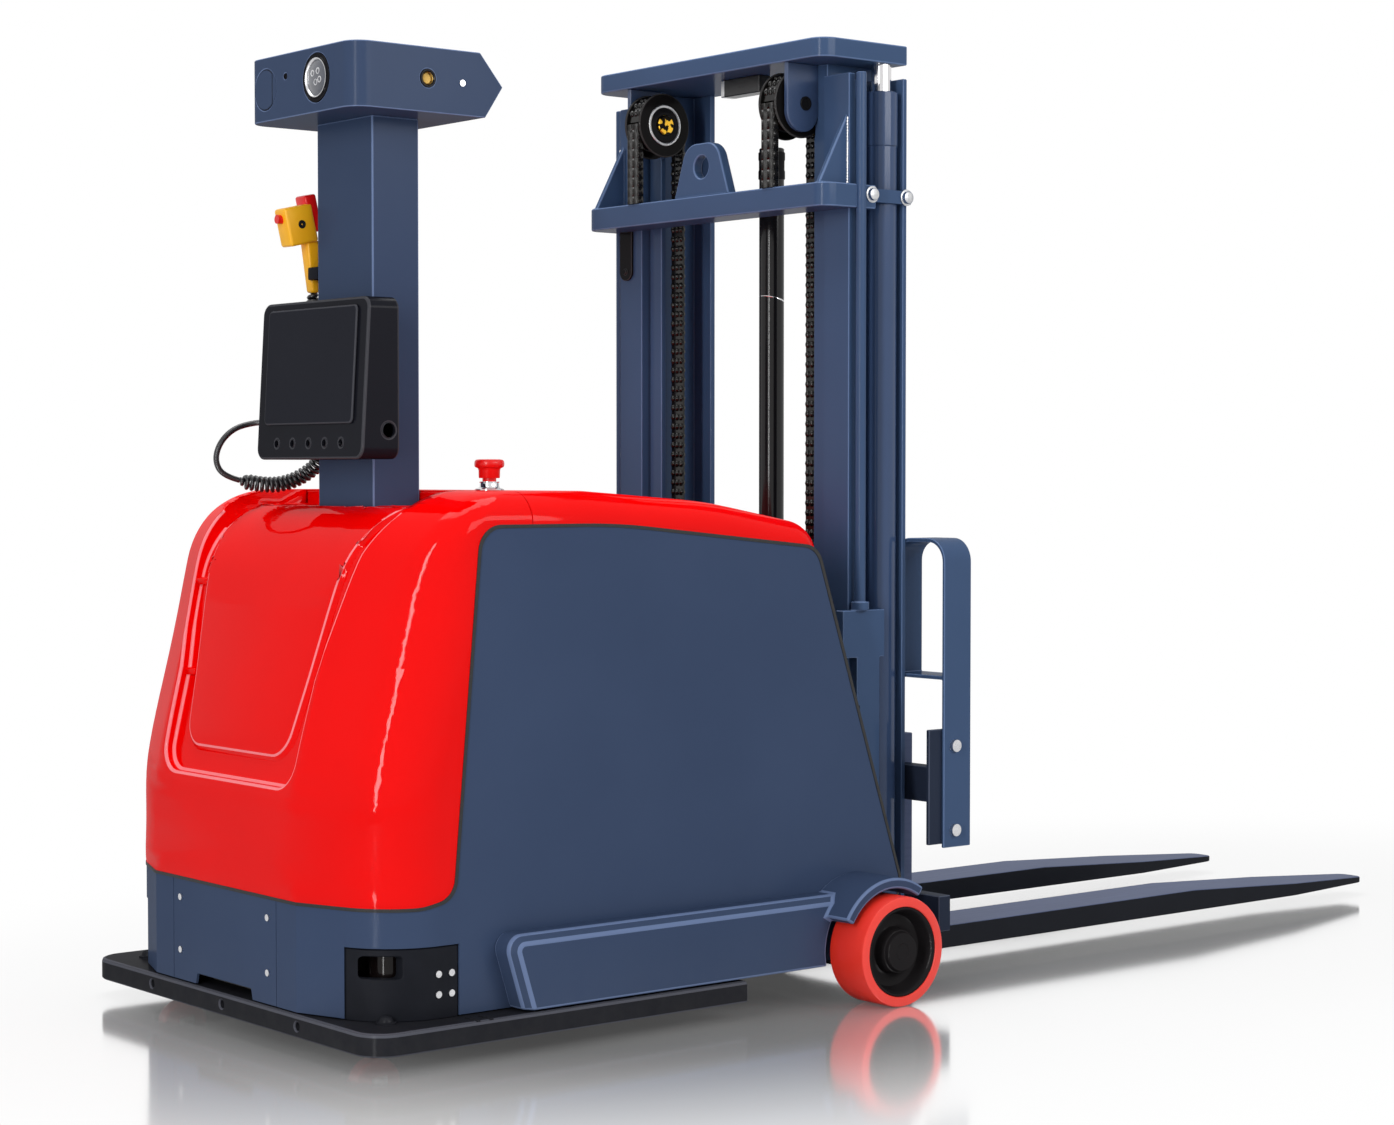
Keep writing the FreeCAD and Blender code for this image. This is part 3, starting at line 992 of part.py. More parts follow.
def cylinders():
    """Lift cylinders nested in the outer channels with their clamps, and the centre cylinder."""
    x, y = S.cylinder_x, S.cylinder_y
    bore = S.rod_radius + S.running_gap
    nut_low = BARREL_TOP - S.gland_nut_height
    barrel = turned("barrel_turned", "z",
                    [(0, S.outer_bottom), (S.barrel_radius, S.outer_bottom), (S.barrel_radius, nut_low),
                     (S.gland_nut_radius, nut_low), (S.gland_nut_radius, BARREL_TOP), (bore, BARREL_TOP),
                     (bore, S.outer_bottom + S.barrel_floor), (0, S.outer_bottom + S.barrel_floor)], x, y)
    centre = rod("centre_barrel", "z", S.centre_cylinder_radius, S.outer_bottom, S.mast_height - S.centre_cylinder_drop,
                 S.centre_cylinder_x)
    piece("lift_cylinders", both("lift_barrels", barrel), centre)
    outside = S.mast_half + S.clamp_thick
    clamp_low = TIE_LOW + S.clamp_rise
    strap = block("clamp_strap", (S.tie_back, S.clamp_back), (S.mast_half, outside),
                  (clamp_low, clamp_low + S.clamp_height))
    barrel_space = rod("clamp_bore", "z", S.barrel_radius, clamp_low - MARGIN,
                       clamp_low + S.clamp_height + MARGIN, x, y)
    middle = clamp_low + S.clamp_height / 2
    bolt = rod("clamp_bolt", "y", S.bolt_head_radius, outside, outside + S.bolt_head,
               S.clamp_bolt_back, z=middle)
    tie_bolt = rod("tie_bolt", "y", S.bolt_head_radius, S.tie_half, S.tie_half + S.bolt_head,
                   S.clamp_bolt_front, z=middle)
    clamp = fuse("clamp_fused", cut("clamp_cut", strap, barrel_space), bolt)
    piece("cylinder_clamps", both("clamp_pair", clamp), both("tie_bolt_pair", tie_bolt))


# ---------------------------------------------------------------- inner mast

def inner_mast():
    """Two channels open to the inside, hung from the top plate with the rods and chain pulleys."""
    front, back = S.inner_front, S.inner_back
    web, tip = S.inner_web_y, S.inner_flange_tip_y
    plate_low = S.mast_height - S.top_plate_thick
    channel = prism("inner_channel", "XY",
                    [(front, tip), (front + S.inner_flange, tip), (front + S.inner_flange, web),
                     (back - S.inner_flange, web), (back - S.inner_flange, tip), (back, tip),
                     (back, web + S.inner_web), (front, web + S.inner_web)], S.inner_bottom, plate_low)
    half = S.pulley_width / 2
    notch = rod("pulley_notch", "y", S.pulley_flange + S.pulley_clearance, S.pulley_y - half - S.cheek_gap,
                S.pulley_y + half + S.cheek_gap, S.pulley_x, z=PULLEY_Z)
    piece("inner_channels", both("inner_channel_pair", cut("inner_channel_cut", channel, notch)))
    piece("mast_top_plate", prism("top_plate", "XY",
                                  [(S.top_plate_front, -S.mast_half, S.top_plate_corner),
                                   (S.mast_back, -S.mast_half), (S.mast_back, S.mast_half),
                                   (S.top_plate_front, S.mast_half, S.top_plate_corner)],
                                  plate_low, S.mast_height))
    piece("lift_rods", both("lift_rod_pair", rod("lift_rod", "z", S.rod_radius, S.rod_low, plate_low,
                                                 S.cylinder_x, S.cylinder_y)))
    cheek_low = S.pulley_y + half + S.cheek_gap
    bottom = PULLEY_Z - S.cheek_drop
    cheek = prism("pulley_cheek", "XZ",
                  [(S.cheek_front, plate_low), (S.cheek_front, bottom, S.cheek_corner),
                   (front, bottom, S.cheek_corner), (front, plate_low)],
                  cheek_low, cheek_low + S.cheek_thick)
    pin_start = S.pulley_y - half - S.seat_gap
    pin = rod("pulley_pin", "y", S.pulley_pin_radius, pin_start, cheek_low, S.pulley_x, z=PULLEY_Z)
    cap = rod("pulley_cap", "y", S.pulley_cap_radius, pin_start - S.pulley_cap, pin_start,
              S.pulley_x, z=PULLEY_Z)
    switch = block("switch_body", (S.switch_front, S.switch_back), (S.switch_near, S.switch_far),
                   (plate_low - S.switch_height, plate_low))
    piece("top_plate_fittings", both("pulley_bracket_pair", fuse("pulley_bracket_fused", cheek, pin, cap)),
          switch)


def chains():
    """Flanged pulleys and the lift chains: fixed strand, wrap over the pulley, carriage strand."""
    half, bore = S.pulley_width / 2, S.pulley_pin_radius + S.running_gap
    chain_half = S.chain_width / 2
    bed, back = S.pulley_pitch_radius - S.chain_thick / 2, S.pulley_pitch_radius + S.chain_thick / 2
    groove, groove_half = bed - S.seat_gap, chain_half + S.seat_gap
    pulley = turned("pulley_turned", "y",
                    [(bore, -half), (S.pulley_flange, -half), (S.pulley_flange, -groove_half),
                     (groove, -groove_half), (groove, groove_half), (S.pulley_flange, groove_half),
                     (S.pulley_flange, half), (bore, half)], S.pulley_x, S.pulley_y, PULLEY_Z)
    piece("lift_pulleys", both("lift_pulley_pair", pulley))
    across = (S.pulley_y - chain_half, S.pulley_y + chain_half)
    front_strand = block("front_strand", (S.pulley_x - back, S.pulley_x - bed), across,
                         (TIE_TOP, PULLEY_Z))
    piece("chain_front", both("front_strands", front_strand))
    rear_strand = block("rear_strand", (S.pulley_x + bed, S.pulley_x + back), across,
                        (S.chain_anchor_z, PULLEY_Z))
    piece("chain_rear", both("rear_strands", rear_strand))
    ring = turned("chain_ring", "y", [(bed, -chain_half), (back, -chain_half), (back, chain_half),
                                      (bed, chain_half)], S.pulley_x, S.pulley_y, PULLEY_Z)
    above = block("chain_above", (S.pulley_x - S.pulley_flange - MARGIN, S.pulley_x + S.pulley_flange + MARGIN),
                  across, (PULLEY_Z, S.mast_height))
    piece("chain_wraps", both("chain_wrap_pair", common("chain_wrap", ring, above)))


# ---------------------------------------------------------------- carriage and forks

def carriage():
    """Side plates with roller pins, two crossbars, end plates and the chain lugs."""
    plate_y = (S.side_plate_y, S.side_plate_y + S.side_plate)
    side = block("carriage_side", (S.carriage_front, S.carriage_back), plate_y,
                 (S.carriage_low, S.carriage_top))
    roller_x = (S.inner_front + S.inner_back) / 2
    pins = [rod(f"roller_pin_{i}", "y", S.roller_pin_radius, S.side_plate_y, S.inner_web_y - S.roller_gap / 2,
                roller_x, z=z) for i, z in enumerate((S.roller_low_z, S.roller_high_z))]
    chain_half, back = S.chain_width / 2, S.pulley_pitch_radius + S.chain_thick / 2
    lug = block("chain_lug", (S.pulley_x + back - S.chain_thick, S.carriage_front + MARGIN),
                (S.pulley_y - chain_half, S.pulley_y + chain_half),
                (S.chain_anchor_z - S.chain_lug_height - S.chain_lug_height, S.chain_anchor_z))
    bars = [block(f"crossbar_{i}", (S.bar_back, S.bar_front), (-S.bar_half, S.bar_half), heights)
            for i, heights in enumerate(((S.lower_bar_bottom, S.lower_bar_top), (S.upper_bar_bottom, S.upper_bar_top)))]
    end = block("end_plate", (S.end_plate_back, S.end_plate_front), (S.bar_half, S.bar_half + S.end_plate),
                (S.end_plate_low, S.end_plate_high))
    half_carriage = fuse("carriage_half", side, lug, end, *pins)
    piece("carriage_frame", fuse("carriage_fused", both("carriage_halves", half_carriage), *bars))
    roller_high = S.inner_web_y - S.roller_gap
    for label, z in (("carriage_rollers_lower", S.roller_low_z), ("carriage_rollers_upper", S.roller_high_z)):
        bore = S.roller_pin_radius + S.running_gap
        wheel = turned(f"{label}_turned", "y",
                       [(bore, -S.roller_width), (S.roller_radius, -S.roller_width), (S.roller_radius, 0),
                        (bore, 0)], roller_x, roller_high, z)
        piece(label, both(f"{label}_pair", wheel))


def backrest():
    """Load guards of flat bar on both sides: an outer upright and a closed loop above it."""
    outer, inner, top, thick = S.guard_half, S.guard_inner_y, S.guard_top, S.guard_thick
    rung, corner = S.guard_rung_z, S.guard_corner
    span = (S.guard_front, S.guard_front + S.guard_depth)
    blank = prism("guard_blank", "YZ",
                  [(outer, S.guard_low), (outer, top, corner), (inner, top, corner), (inner, rung),
                   (outer - thick, rung), (outer - thick, S.guard_low)], *span)
    window = prism("guard_window", "YZ",
                   [(outer - thick, rung + thick), (outer - thick, top - thick, corner - thick),
                    (inner + thick, top - thick, corner - thick), (inner + thick, rung + thick)],
                   span[0] - MARGIN, span[1] + MARGIN)
    piece("load_backrest", both("guard_pair", cut("guard_cut", blank, window)))
    bolts = [rod(f"guard_bolt_{i}", "y", S.bolt_head_radius, outer, outer + S.bolt_head, S.guard_fixing_x, z=z)
             for i, z in enumerate((S.guard_fixing_low_z, S.guard_fixing_high_z))]
    bolt_group = add("Part::Compound", "guard_bolts")
    bolt_group.Links = bolts
    piece("carriage_bolts", both("guard_bolt_pair", bolt_group))


def forks():
    """L-shaped forks with tapered blades and hooks over and under the crossbars."""
    back, front, tip = S.bar_front, S.fork_front, S.fork_tip_x
    side = prism("fork_side", "XZ",
                 [(back, S.fork_shank_top), (back, S.fork_low, S.fork_heel), (tip, S.fork_low),
                  (tip, S.fork_low + S.fork_tip_thick), (tip - S.fork_taper, S.fork_top),
                  (front, S.fork_top, S.fork_heel / 2), (front, S.fork_shank_top)],
                 S.fork_inner, S.fork_inner + S.fork_width)
    middle, wide = S.fork_inner + S.fork_width / 2, S.fork_width / 2
    plan = prism("fork_plan", "XY",
                 [(back, middle - wide), (tip - S.fork_narrow, middle - wide),
                  (tip, middle - S.fork_tip_half, S.fork_tip_corner),
                  (tip, middle + S.fork_tip_half, S.fork_tip_corner),
                  (tip - S.fork_narrow, middle + wide), (back, middle + wide)], 0, S.fork_shank_top)
    hook_y = (middle - S.fork_tip_half, middle + S.fork_tip_half)
    hook = block("fork_hook", (S.bar_back + S.end_plate, back), hook_y,
                 (S.upper_bar_top, S.upper_bar_top + S.fork_hook))
    low_hook = block("fork_low_hook", (S.bar_back + S.end_plate, back), hook_y,
                     (S.lower_bar_bottom - S.fork_hook, S.lower_bar_bottom))
    pair("fork", fuse("fork_fused", common("fork_shaped", side, plan), hook, low_hook))


def screws():
    """Screw heads on the access panel, the scanner housings and the sensor head."""
    heads = [rod(f"access_screw_{i}", "x", S.screw_head_radius, S.body_front - S.screw_head, S.body_front,
                 y=S.access_screw_y, z=z) for i, z in enumerate((S.access_screw_low, S.access_screw_high))]
    side = S.body_half - S.pocket_gap
    spots = [(x, z) for x in (S.pocket_screw_front, S.pocket_screw_back)
             for z in (S.pocket_screw_low, S.pocket_screw_high)]
    heads += [rod(f"pocket_screw_{i}", "y", S.screw_head_radius, side, side + S.screw_head, x, z=z)
              for i, (x, z) in enumerate(spots)]
    heads.append(rod("head_screw", "y", S.screw_head_radius, S.head_half, S.head_half + S.screw_head,
                     S.head_screw_x, z=S.head_point_z))
    group = add("Part::Compound", "far_screws")
    group.Links = heads
    piece("panel_screws", both("screw_pair", group))


# ---------------------------------------------------------------- build, check and export

base_plate()
chassis_frame()
inner_machinery()
drive_unit()
casters()
load_wheels()
skin = body_skin()
side_panels(skin, grey_region("panel_region", length(0)))
front_hood()
rear_cover()
fenders()
scanners()
sensor_tower()
sensor_head()
control_box()
pendant_and_cord()
emergency_stop()
outer_mast()
cylinders()
inner_mast()
chains()
carriage()
backrest()
forks()
screws()

doc.recompute()
faults = [obj.Name for obj in doc.Objects if {"Invalid", "Error"} & set(obj.State)]
for label, obj in PIECES.items():
    if obj.Shape.isNull() or not obj.Shape.isValid() or not obj.Shape.Solids:
        faults.append(label)
if faults:
    raise RuntimeError(f"faulty objects: {faults}")

os.makedirs("parts", exist_ok=True)
for label, obj in PIECES.items():
    obj.Shape.exportStep(f"parts/{label}.step")
print(len(PIECES), "pieces written")
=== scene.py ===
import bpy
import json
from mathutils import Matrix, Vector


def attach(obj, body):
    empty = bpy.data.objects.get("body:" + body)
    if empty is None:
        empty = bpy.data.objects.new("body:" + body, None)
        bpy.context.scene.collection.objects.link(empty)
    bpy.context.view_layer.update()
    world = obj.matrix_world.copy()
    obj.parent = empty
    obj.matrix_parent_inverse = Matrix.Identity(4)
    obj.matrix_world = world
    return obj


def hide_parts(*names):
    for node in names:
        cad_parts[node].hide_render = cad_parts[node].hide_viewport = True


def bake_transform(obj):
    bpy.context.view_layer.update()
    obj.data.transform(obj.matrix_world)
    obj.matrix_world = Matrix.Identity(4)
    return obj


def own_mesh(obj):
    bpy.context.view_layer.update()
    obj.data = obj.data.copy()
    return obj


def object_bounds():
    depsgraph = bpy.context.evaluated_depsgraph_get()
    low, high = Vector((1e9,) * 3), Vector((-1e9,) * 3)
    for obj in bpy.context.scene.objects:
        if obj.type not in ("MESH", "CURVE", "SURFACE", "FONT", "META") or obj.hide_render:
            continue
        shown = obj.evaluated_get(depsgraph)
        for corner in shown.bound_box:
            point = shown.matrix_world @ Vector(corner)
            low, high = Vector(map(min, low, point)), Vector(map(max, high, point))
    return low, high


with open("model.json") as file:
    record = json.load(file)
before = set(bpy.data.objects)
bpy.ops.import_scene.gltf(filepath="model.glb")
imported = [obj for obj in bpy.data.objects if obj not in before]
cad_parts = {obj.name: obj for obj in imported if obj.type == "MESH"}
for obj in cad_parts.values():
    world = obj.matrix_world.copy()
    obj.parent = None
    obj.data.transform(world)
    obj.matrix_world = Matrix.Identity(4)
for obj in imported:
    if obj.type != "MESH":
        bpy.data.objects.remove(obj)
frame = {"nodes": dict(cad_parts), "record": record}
solid_box = [list(corner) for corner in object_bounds()]

import json
import math

import bmesh
import bpy
from mathutils import Matrix, Vector
from mathutils.bvhtree import BVHTree

# ---------------------------------------------------------------- camera, floor and light
# A white studio: a pale floor that fades into a white backdrop, one broad soft box in front of the
# nose, one along the near side and one overhead, and a long-lens camera at chest height.

NOSE = solid_box[0][0]  # X of the base plate's front edge


def at(x, y, z):
    """A place given in metres from the front edge of the base plate, the centre line and the floor."""
    return Vector((NOSE + x, y, z))


camera = bpy.data.objects.new("camera", bpy.data.cameras.new("camera"))
camera.data.sensor_width = 36
camera.data.lens = 71.57
camera.data.shift_x = 0.0133
camera.data.shift_y = 0.0060
camera.location = at(-2.672, -4.716, 1.090)
camera.rotation_euler = (math.radians(87.97), 0, math.radians(-38.96))
bpy.context.collection.objects.link(camera)
bpy.context.scene.camera = camera
bpy.context.scene.view_settings.view_transform = "Standard"


class Wire:
    """A shader socket that takes part in sums: wire * 2 + 1 adds Math nodes, node() any other node."""

    def __init__(self, tree, socket=None):
        self.tree = tree
        self.socket = socket

    def node(self, kind, settings=None, values=None, out=0):
        made = self.tree.nodes.new(kind)
        for word, value in (settings or {}).items():
            setattr(made, word, value)
        for word, value in (values or {}).items():
            if isinstance(value, Wire):
                self.tree.links.new(value.socket, made.inputs[word])
            else:
                made.inputs[word].default_value = value
        return Wire(self.tree, made.outputs[out] if made.outputs else None)

    def maths(self, operation, *terms):
        return self.node("ShaderNodeMath", {"operation": operation}, dict(enumerate(terms)))

    def __add__(self, other):
        return self.maths("ADD", self, other)

    def __sub__(self, other):
        return self.maths("SUBTRACT", self, other)

    def __rsub__(self, other):
        return self.maths("SUBTRACT", other, self)

    def __mul__(self, other):
        return self.maths("MULTIPLY", self, other)

    def __gt__(self, other):
        return self.maths("GREATER_THAN", self, other)

    def __lt__(self, other):
        return self.maths("LESS_THAN", self, other)

    __radd__ = __add__
    __rmul__ = __mul__


def new_finish(name):
    """An empty material, a wire to start from, and a wire that carries the Object coordinates."""
    material = bpy.data.materials.new(name)
    material.use_nodes = True
    material.node_tree.nodes.clear()
    wire = Wire(material.node_tree)
    place = wire.node("ShaderNodeTexCoord", out="Object")
    return material, wire, place


def axes_of(place):
    """The three numbers in a vector."""
    return [place.node("ShaderNodeSeparateXYZ", values={0: place}, out=i) for i in range(3)]


def noise(place, scale, detail=2.0, roughness=0.5):
    """Noise between 0 and 1, with so many swells to a metre."""
    return place.node("ShaderNodeTexNoise", values={"Vector": place, "Scale": scale, "Detail": detail,
                                                    "Roughness": roughness})


def mixed(share, low, high):
    """Two colours mixed by a share."""
    return share.node("ShaderNodeMix", {"data_type": "RGBA"}, {0: share, 6: low, 7: high}, out=2)


def shade(wire, values, height=None, depth=0.0002):
    """Ends a material in a Principled shader, with a bump where it has a height."""
    if height is not None:
        bump = wire.node("ShaderNodeBump", values={"Height": height, "Distance": depth})
        values = {**values, "Normal": bump}
    shader = wire.node("ShaderNodeBsdfPrincipled", values=values)
    wire.node("ShaderNodeOutputMaterial", values={"Surface": shader})


def link_mesh(name, shape, finish, smooth=35):
    """A finished bmesh as an object at the origin, shaded smooth up to an angle."""
    mesh = bpy.data.meshes.new(name)
    shape.to_mesh(mesh)
    shape.free()
    mesh.shade_smooth()
    mesh.set_sharp_from_angle(angle=math.radians(smooth))
    mesh.materials.append(finish)
    piece = bpy.data.objects.new(name, mesh)
    bpy.context.collection.objects.link(piece)
    return piece


FLOOR_HALF, FADE_START, FADE_END = 12, 0.85, 2.0  # the floor melts into the backdrop between the last two
SHEEN_SHARE, SHEEN_ROUGHNESS, FLOOR_LIFT = 0.84, 0.11, 0.06

floor_finish, wire, place = new_finish("studio_floor")
along, across = axes_of(place)[:2]
reach = wire.maths("SQRT", along * along * 0.36 + across * across)
fade = reach.node("ShaderNodeMapRange", {"interpolation_type": "SMOOTHSTEP"},
                  {"Value": reach, "From Min": FADE_START, "From Max": FADE_END})
seen = wire.node("ShaderNodeLightPath", out="Is Camera Ray")
white = wire.node("ShaderNodeEmission", values={"Color": (1, 1, 1, 1), "Strength": 1.0})
glanced = wire.node("ShaderNodeLightPath", out="Is Glossy Ray")
tone = 0.5 + 0.45 * wire.maths("MAXIMUM", seen, glanced)
matt = wire.node("ShaderNodeBsdfDiffuse", values={"Color": tone})
sheen = wire.node("ShaderNodeBsdfGlossy", values={"Color": tone, "Roughness": SHEEN_ROUGHNESS})
polished = wire.node("ShaderNodeMixShader", values={0: SHEEN_SHARE, 1: matt, 2: sheen})
lifted = wire.node("ShaderNodeMixShader", values={0: FLOOR_LIFT * seen, 1: polished, 2: white})
both = wire.node("ShaderNodeMixShader", values={0: fade * seen, 1: lifted, 2: white})
wire.node("ShaderNodeOutputMaterial", values={"Surface": both})
ground_shape = bmesh.new()
bmesh.ops.create_grid(ground_shape, x_segments=1, y_segments=1, size=FLOOR_HALF)
ground_piece = link_mesh("studio_floor", ground_shape, floor_finish)

world = bpy.data.worlds.new("studio")
bpy.context.scene.world = world
world.use_nodes = True
world.node_tree.nodes.clear()
sky = Wire(world.node_tree)
straight = sky.node("ShaderNodeLightPath", out="Is Camera Ray")
mirrored = sky.node("ShaderNodeLightPath", out="Is Glossy Ray")
through = sky.node("ShaderNodeLightPath", out="Is Transmission Ray")
bright = straight.maths("MAXIMUM", straight, mirrored.maths("MAXIMUM", mirrored, through))
strength = 0.40 + bright * 0.60
backdrop = sky.node("ShaderNodeBackground", values={"Color": (1, 1, 1, 1), "Strength": strength})
sky.node("ShaderNodeOutputWorld", values={"Surface": backdrop})

for word, spot, aim, size, power in (("nose_box", at(-3.2, -2.2, 1.9), at(0.3, 0, 0.7), (0.34, 3.4), 94),
                                     ("side_box", at(1.8, -4.4, 2.8), at(1.2, 0, 0.9), (3.4, 1.4), 80),
                                     ("top_box", at(0.9, 0.5, 4.4), at(0.9, 0, 0.5), (3.4, 2.0), 108)):
    lamp = bpy.data.lights.new(word, "AREA")
    lamp.shape = "RECTANGLE"
    lamp.size, lamp.size_y = size
    lamp.energy = power
    holder = bpy.data.objects.new(word, lamp)
    holder.location = spot
    holder.rotation_euler = (aim - spot).to_track_quat("-Z", "Y").to_euler()
    bpy.context.collection.objects.link(holder)

# ---------------------------------------------------------------- pendant cord
# A rubber-covered lead that leaves the control box, swings down in a loose bow and turns into the
# curly cord of the hand control: one wire wound in tight turns that hangs along the tower.

LEAD_WIDTH, CURLY_WIDTH, CURLY_RADIUS, CURLY_PITCH = 0.012, 0.0092, 0.0128, 0.0104
POINTS_PER_TURN, OPENING_TURNS = 14, 1.6  # the curl widens over its first and last turns
LEAD_ROUTE = [(0.262, 0.214, 1.194), (0.262, 0.250, 1.194), (0.236, 0.276, 1.192), (0.196, 0.284, 1.180),
              (0.1643, 0.2841, 1.1504), (0.1546, 0.2864, 1.114), (0.1731, 0.2859, 1.0832),
              (0.2068, 0.2768, 1.0745)]
CURLY_ROUTE = [(0.2068, 0.2768, 1.0745), (0.2568, 0.2632, 1.0618), (0.3095, 0.2363, 1.0706),
               (0.3496, 0.2002, 1.106), (0.3641, 0.1687, 1.1644), (0.3575, 0.154, 1.236),
               (0.3495, 0.15, 1.312), (0.3226, 0.15, 1.3697), (0.3073, 0.15, 1.4118), (0.3073, 0.15, 1.457)]

rubber, wire, place = new_finish("cord_rubber")
grain = noise(place, 900, 2)
shade(wire, {"Base Color": mixed(noise(place, 40), (0.009, 0.009, 0.011, 1), (0.02, 0.02, 0.023, 1)),
             "Roughness": 0.24 + grain * 0.16, "Specular IOR Level": 0.55}, grain, 0.00004)


def spline_of(name, route, width, finish, fineness):
    """A smooth NURBS cord along control points, round in section."""
    curve = bpy.data.curves.new(name, "CURVE")
    curve.dimensions = "3D"
    run = curve.splines.new("NURBS")
    run.points.add(len(route) - 1)
    for knot, spot in zip(run.points, route):
        knot.co = (*spot, 1)
        knot.radius = width / 2
    run.order_u = 3
    run.use_endpoint_u = True
    curve.resolution_u = fineness
    curve.bevel_depth = 1
    curve.bevel_resolution = 3
    curve.use_fill_caps = True
    curve.materials.append(finish)
    cable = bpy.data.objects.new(name, curve)
    bpy.context.collection.objects.link(cable)
    return cable


def line_of(cable):
    """The points along a cord's own line."""
    curve = cable.data
    depth = curve.bevel_depth
    curve.bevel_depth = 0
    thread = bpy.data.meshes.new_from_object(cable)
    spots = [v.co.copy() for v in thread.vertices]
    bpy.data.meshes.remove(thread)
    curve.bevel_depth = depth
    return spots


def length_of(spots):
    """The length of a line of points."""
    return sum((b - a).length for a, b in zip(spots, spots[1:]))


def fitted(piece, body, slot, *nodes):
    """Fixes a piece to a body in place of CAD pieces, which it hides; the slot is not used."""
    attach(piece, body)
    if nodes:
        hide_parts(*nodes)


lead = spline_of("pendant_lead", [at(*spot) for spot in LEAD_ROUTE], LEAD_WIDTH, rubber, 12)
fitted(lead, "chassis", "cord_black", "cord_lead")
length_of(line_of(lead))

guide = spline_of("curly_guide", [at(*spot) for spot in CURLY_ROUTE], CURLY_WIDTH, rubber, 24)
middle_line = line_of(guide)
bpy.data.objects.remove(guide)
whole = length_of(middle_line)
steps = round(whole / CURLY_PITCH * POINTS_PER_TURN)
heading = (middle_line[1] - middle_line[0]).normalized()
side = heading.orthogonal().normalized()
turns, walked, place_on = [], 0.0, 0
for step in range(steps + 1):
    target = whole * step / steps
    while place_on < len(middle_line) - 2:
        hop = (middle_line[place_on + 1] - middle_line[place_on]).length
        if walked + hop >= target:
            break
        walked += hop
        place_on += 1
    start, end = middle_line[place_on], middle_line[place_on + 1]
    new_heading = (end - start).normalized()
    side = (heading.rotation_difference(new_heading) @ side).normalized()
    heading = new_heading
    spot = start + heading * (target - walked)
    near_end = min(target, whole - target) / (CURLY_PITCH * OPENING_TURNS)
    opened = min(1.0, near_end) ** 0.7
    turn = math.tau * step / POINTS_PER_TURN
    outward = side * math.cos(turn) + heading.cross(side) * math.sin(turn)
    turns.append(spot + CURLY_RADIUS * opened * outward)
curly = spline_of("curly_cord", turns, CURLY_WIDTH, rubber, 2)
curly.data.bevel_resolution = 1
fitted(curly, "chassis", "cord_black", "cord_curly")
length_of(line_of(curly))


def spun(name, profile, spot, axis, finish, steps=48):
    """A turned piece: (radius, along) corners spun about an axis through a spot."""
    shape = bmesh.new()
    corners = [shape.verts.new((radius, 0, far)) for radius, far in profile]
    edges = [shape.edges.new(ends) for ends in zip(corners, corners[1:])]
    bmesh.ops.spin(shape, geom=corners + edges, cent=(0, 0, 0), axis=(0, 0, 1), dvec=(0, 0, 0),
                   angle=math.tau, steps=steps, use_merge=True)
    bmesh.ops.remove_doubles(shape, verts=shape.verts, dist=1e-6)
    bmesh.ops.recalc_face_normals(shape, faces=shape.faces)
    turned = Vector((0, 0, 1)).rotation_difference(Vector(axis)).to_matrix().to_4x4()
    bmesh.ops.transform(shape, matrix=Matrix.Translation(spot) @ turned, verts=shape.verts)
    return link_mesh(name, shape, finish)


# Moulded strain relief on the gland's nut: a plain collar, then five ribs that get narrower.
boot = [(0.0, 0.0), (0.012, 0.0), (0.012, 0.009), (0.0105, 0.010), (0.0105, 0.016)]
for rib in range(5):
    start = 0.017 + rib * 0.0048
    wide = 0.0102 - rib * 0.0006
    boot += [(wide, start), (wide, start + 0.0026), (wide - 0.0016, start + 0.003),
             (wide - 0.0016, start + 0.0046)]
boot += [(0.0064, 0.0425), (0.0, 0.0425)]
relief = spun("lead_strain_relief", boot, at(0.262, 0.198, 1.194), (0, 1, 0), rubber, 32)
fitted(relief, "chassis", "black_plastic", "cord_gland")

# ---------------------------------------------------------------- base plate and chassis
# Thick flame-cut steel plate and the welded frame behind the panels, both in black satin powder
# coat, with moulded plugs on the plate's front corners and small clips on its long edges.


def coated(name, dark, light, rough, peel=0.00004, low_dust=0.0, gleam=0.12, edge=1.5):
    """Powder coat: fine orange peel, faint cloudiness, a painted highlight on marked edges and dust near the
    floor.
    """
    finish, wire, place = new_finish(name)
    cloud = noise(place, 3.5, 3)
    skin = noise(place, 420, 1)
    shine = rough - 0.05 + noise(place, 9, 4, 0.6) * 0.1
    # Painted highlight: the edge faces that eased() marks take a paler colour, the light colour times edge.
    pale = tuple(share * edge + 0.03 for share in light[:3]) + (1,)
    on_edge = wire.node("ShaderNodeAttribute", {"attribute_name": "painted_edge_highlight"}, out=2)
    colour = mixed(on_edge, mixed(cloud, dark, light), pale)
    if low_dust:
        lowness = wire.maths("MAXIMUM", 1 - axes_of(place)[2] * 5, 0)
        dust = lowness * noise(place, 30, 4, 0.65) * low_dust
        colour = mixed(dust, colour, (0.23, 0.22, 0.2, 1))
        shine = shine + dust * 0.5
    shade(wire, {"Base Color": colour, "Roughness": shine, "Specular IOR Level": 0.0,
                 "Coat Weight": gleam, "Coat Roughness": rough - 0.12}, skin, peel)
    return finish


def dress(finish, *nodes):
    """Gives CAD pieces a finish."""
    for node in nodes:
        mesh = frame["nodes"][node].data
        for slot in range(len(mesh.materials)):
            mesh.materials[slot] = finish


def merged(node):
    """A copy of a CAD piece with its loose triangles joined and its flat faces made whole."""
    shape = bmesh.new()
    shape.from_mesh(frame["nodes"][node].data)
    bmesh.ops.remove_doubles(shape, verts=shape.verts, dist=1e-5)
    bmesh.ops.dissolve_limit(shape, angle_limit=math.radians(0.6), verts=shape.verts, edges=shape.edges)
    return shape


def sharp_edges(shape, angle=32, keep=None):
    """The edges of a shape that turn by more than an angle."""
    return [edge for edge in shape.edges if edge.is_manifold and edge.calc_length() > 0
            and edge.calc_face_angle(0) > math.radians(angle) and (keep is None or keep(edge))]


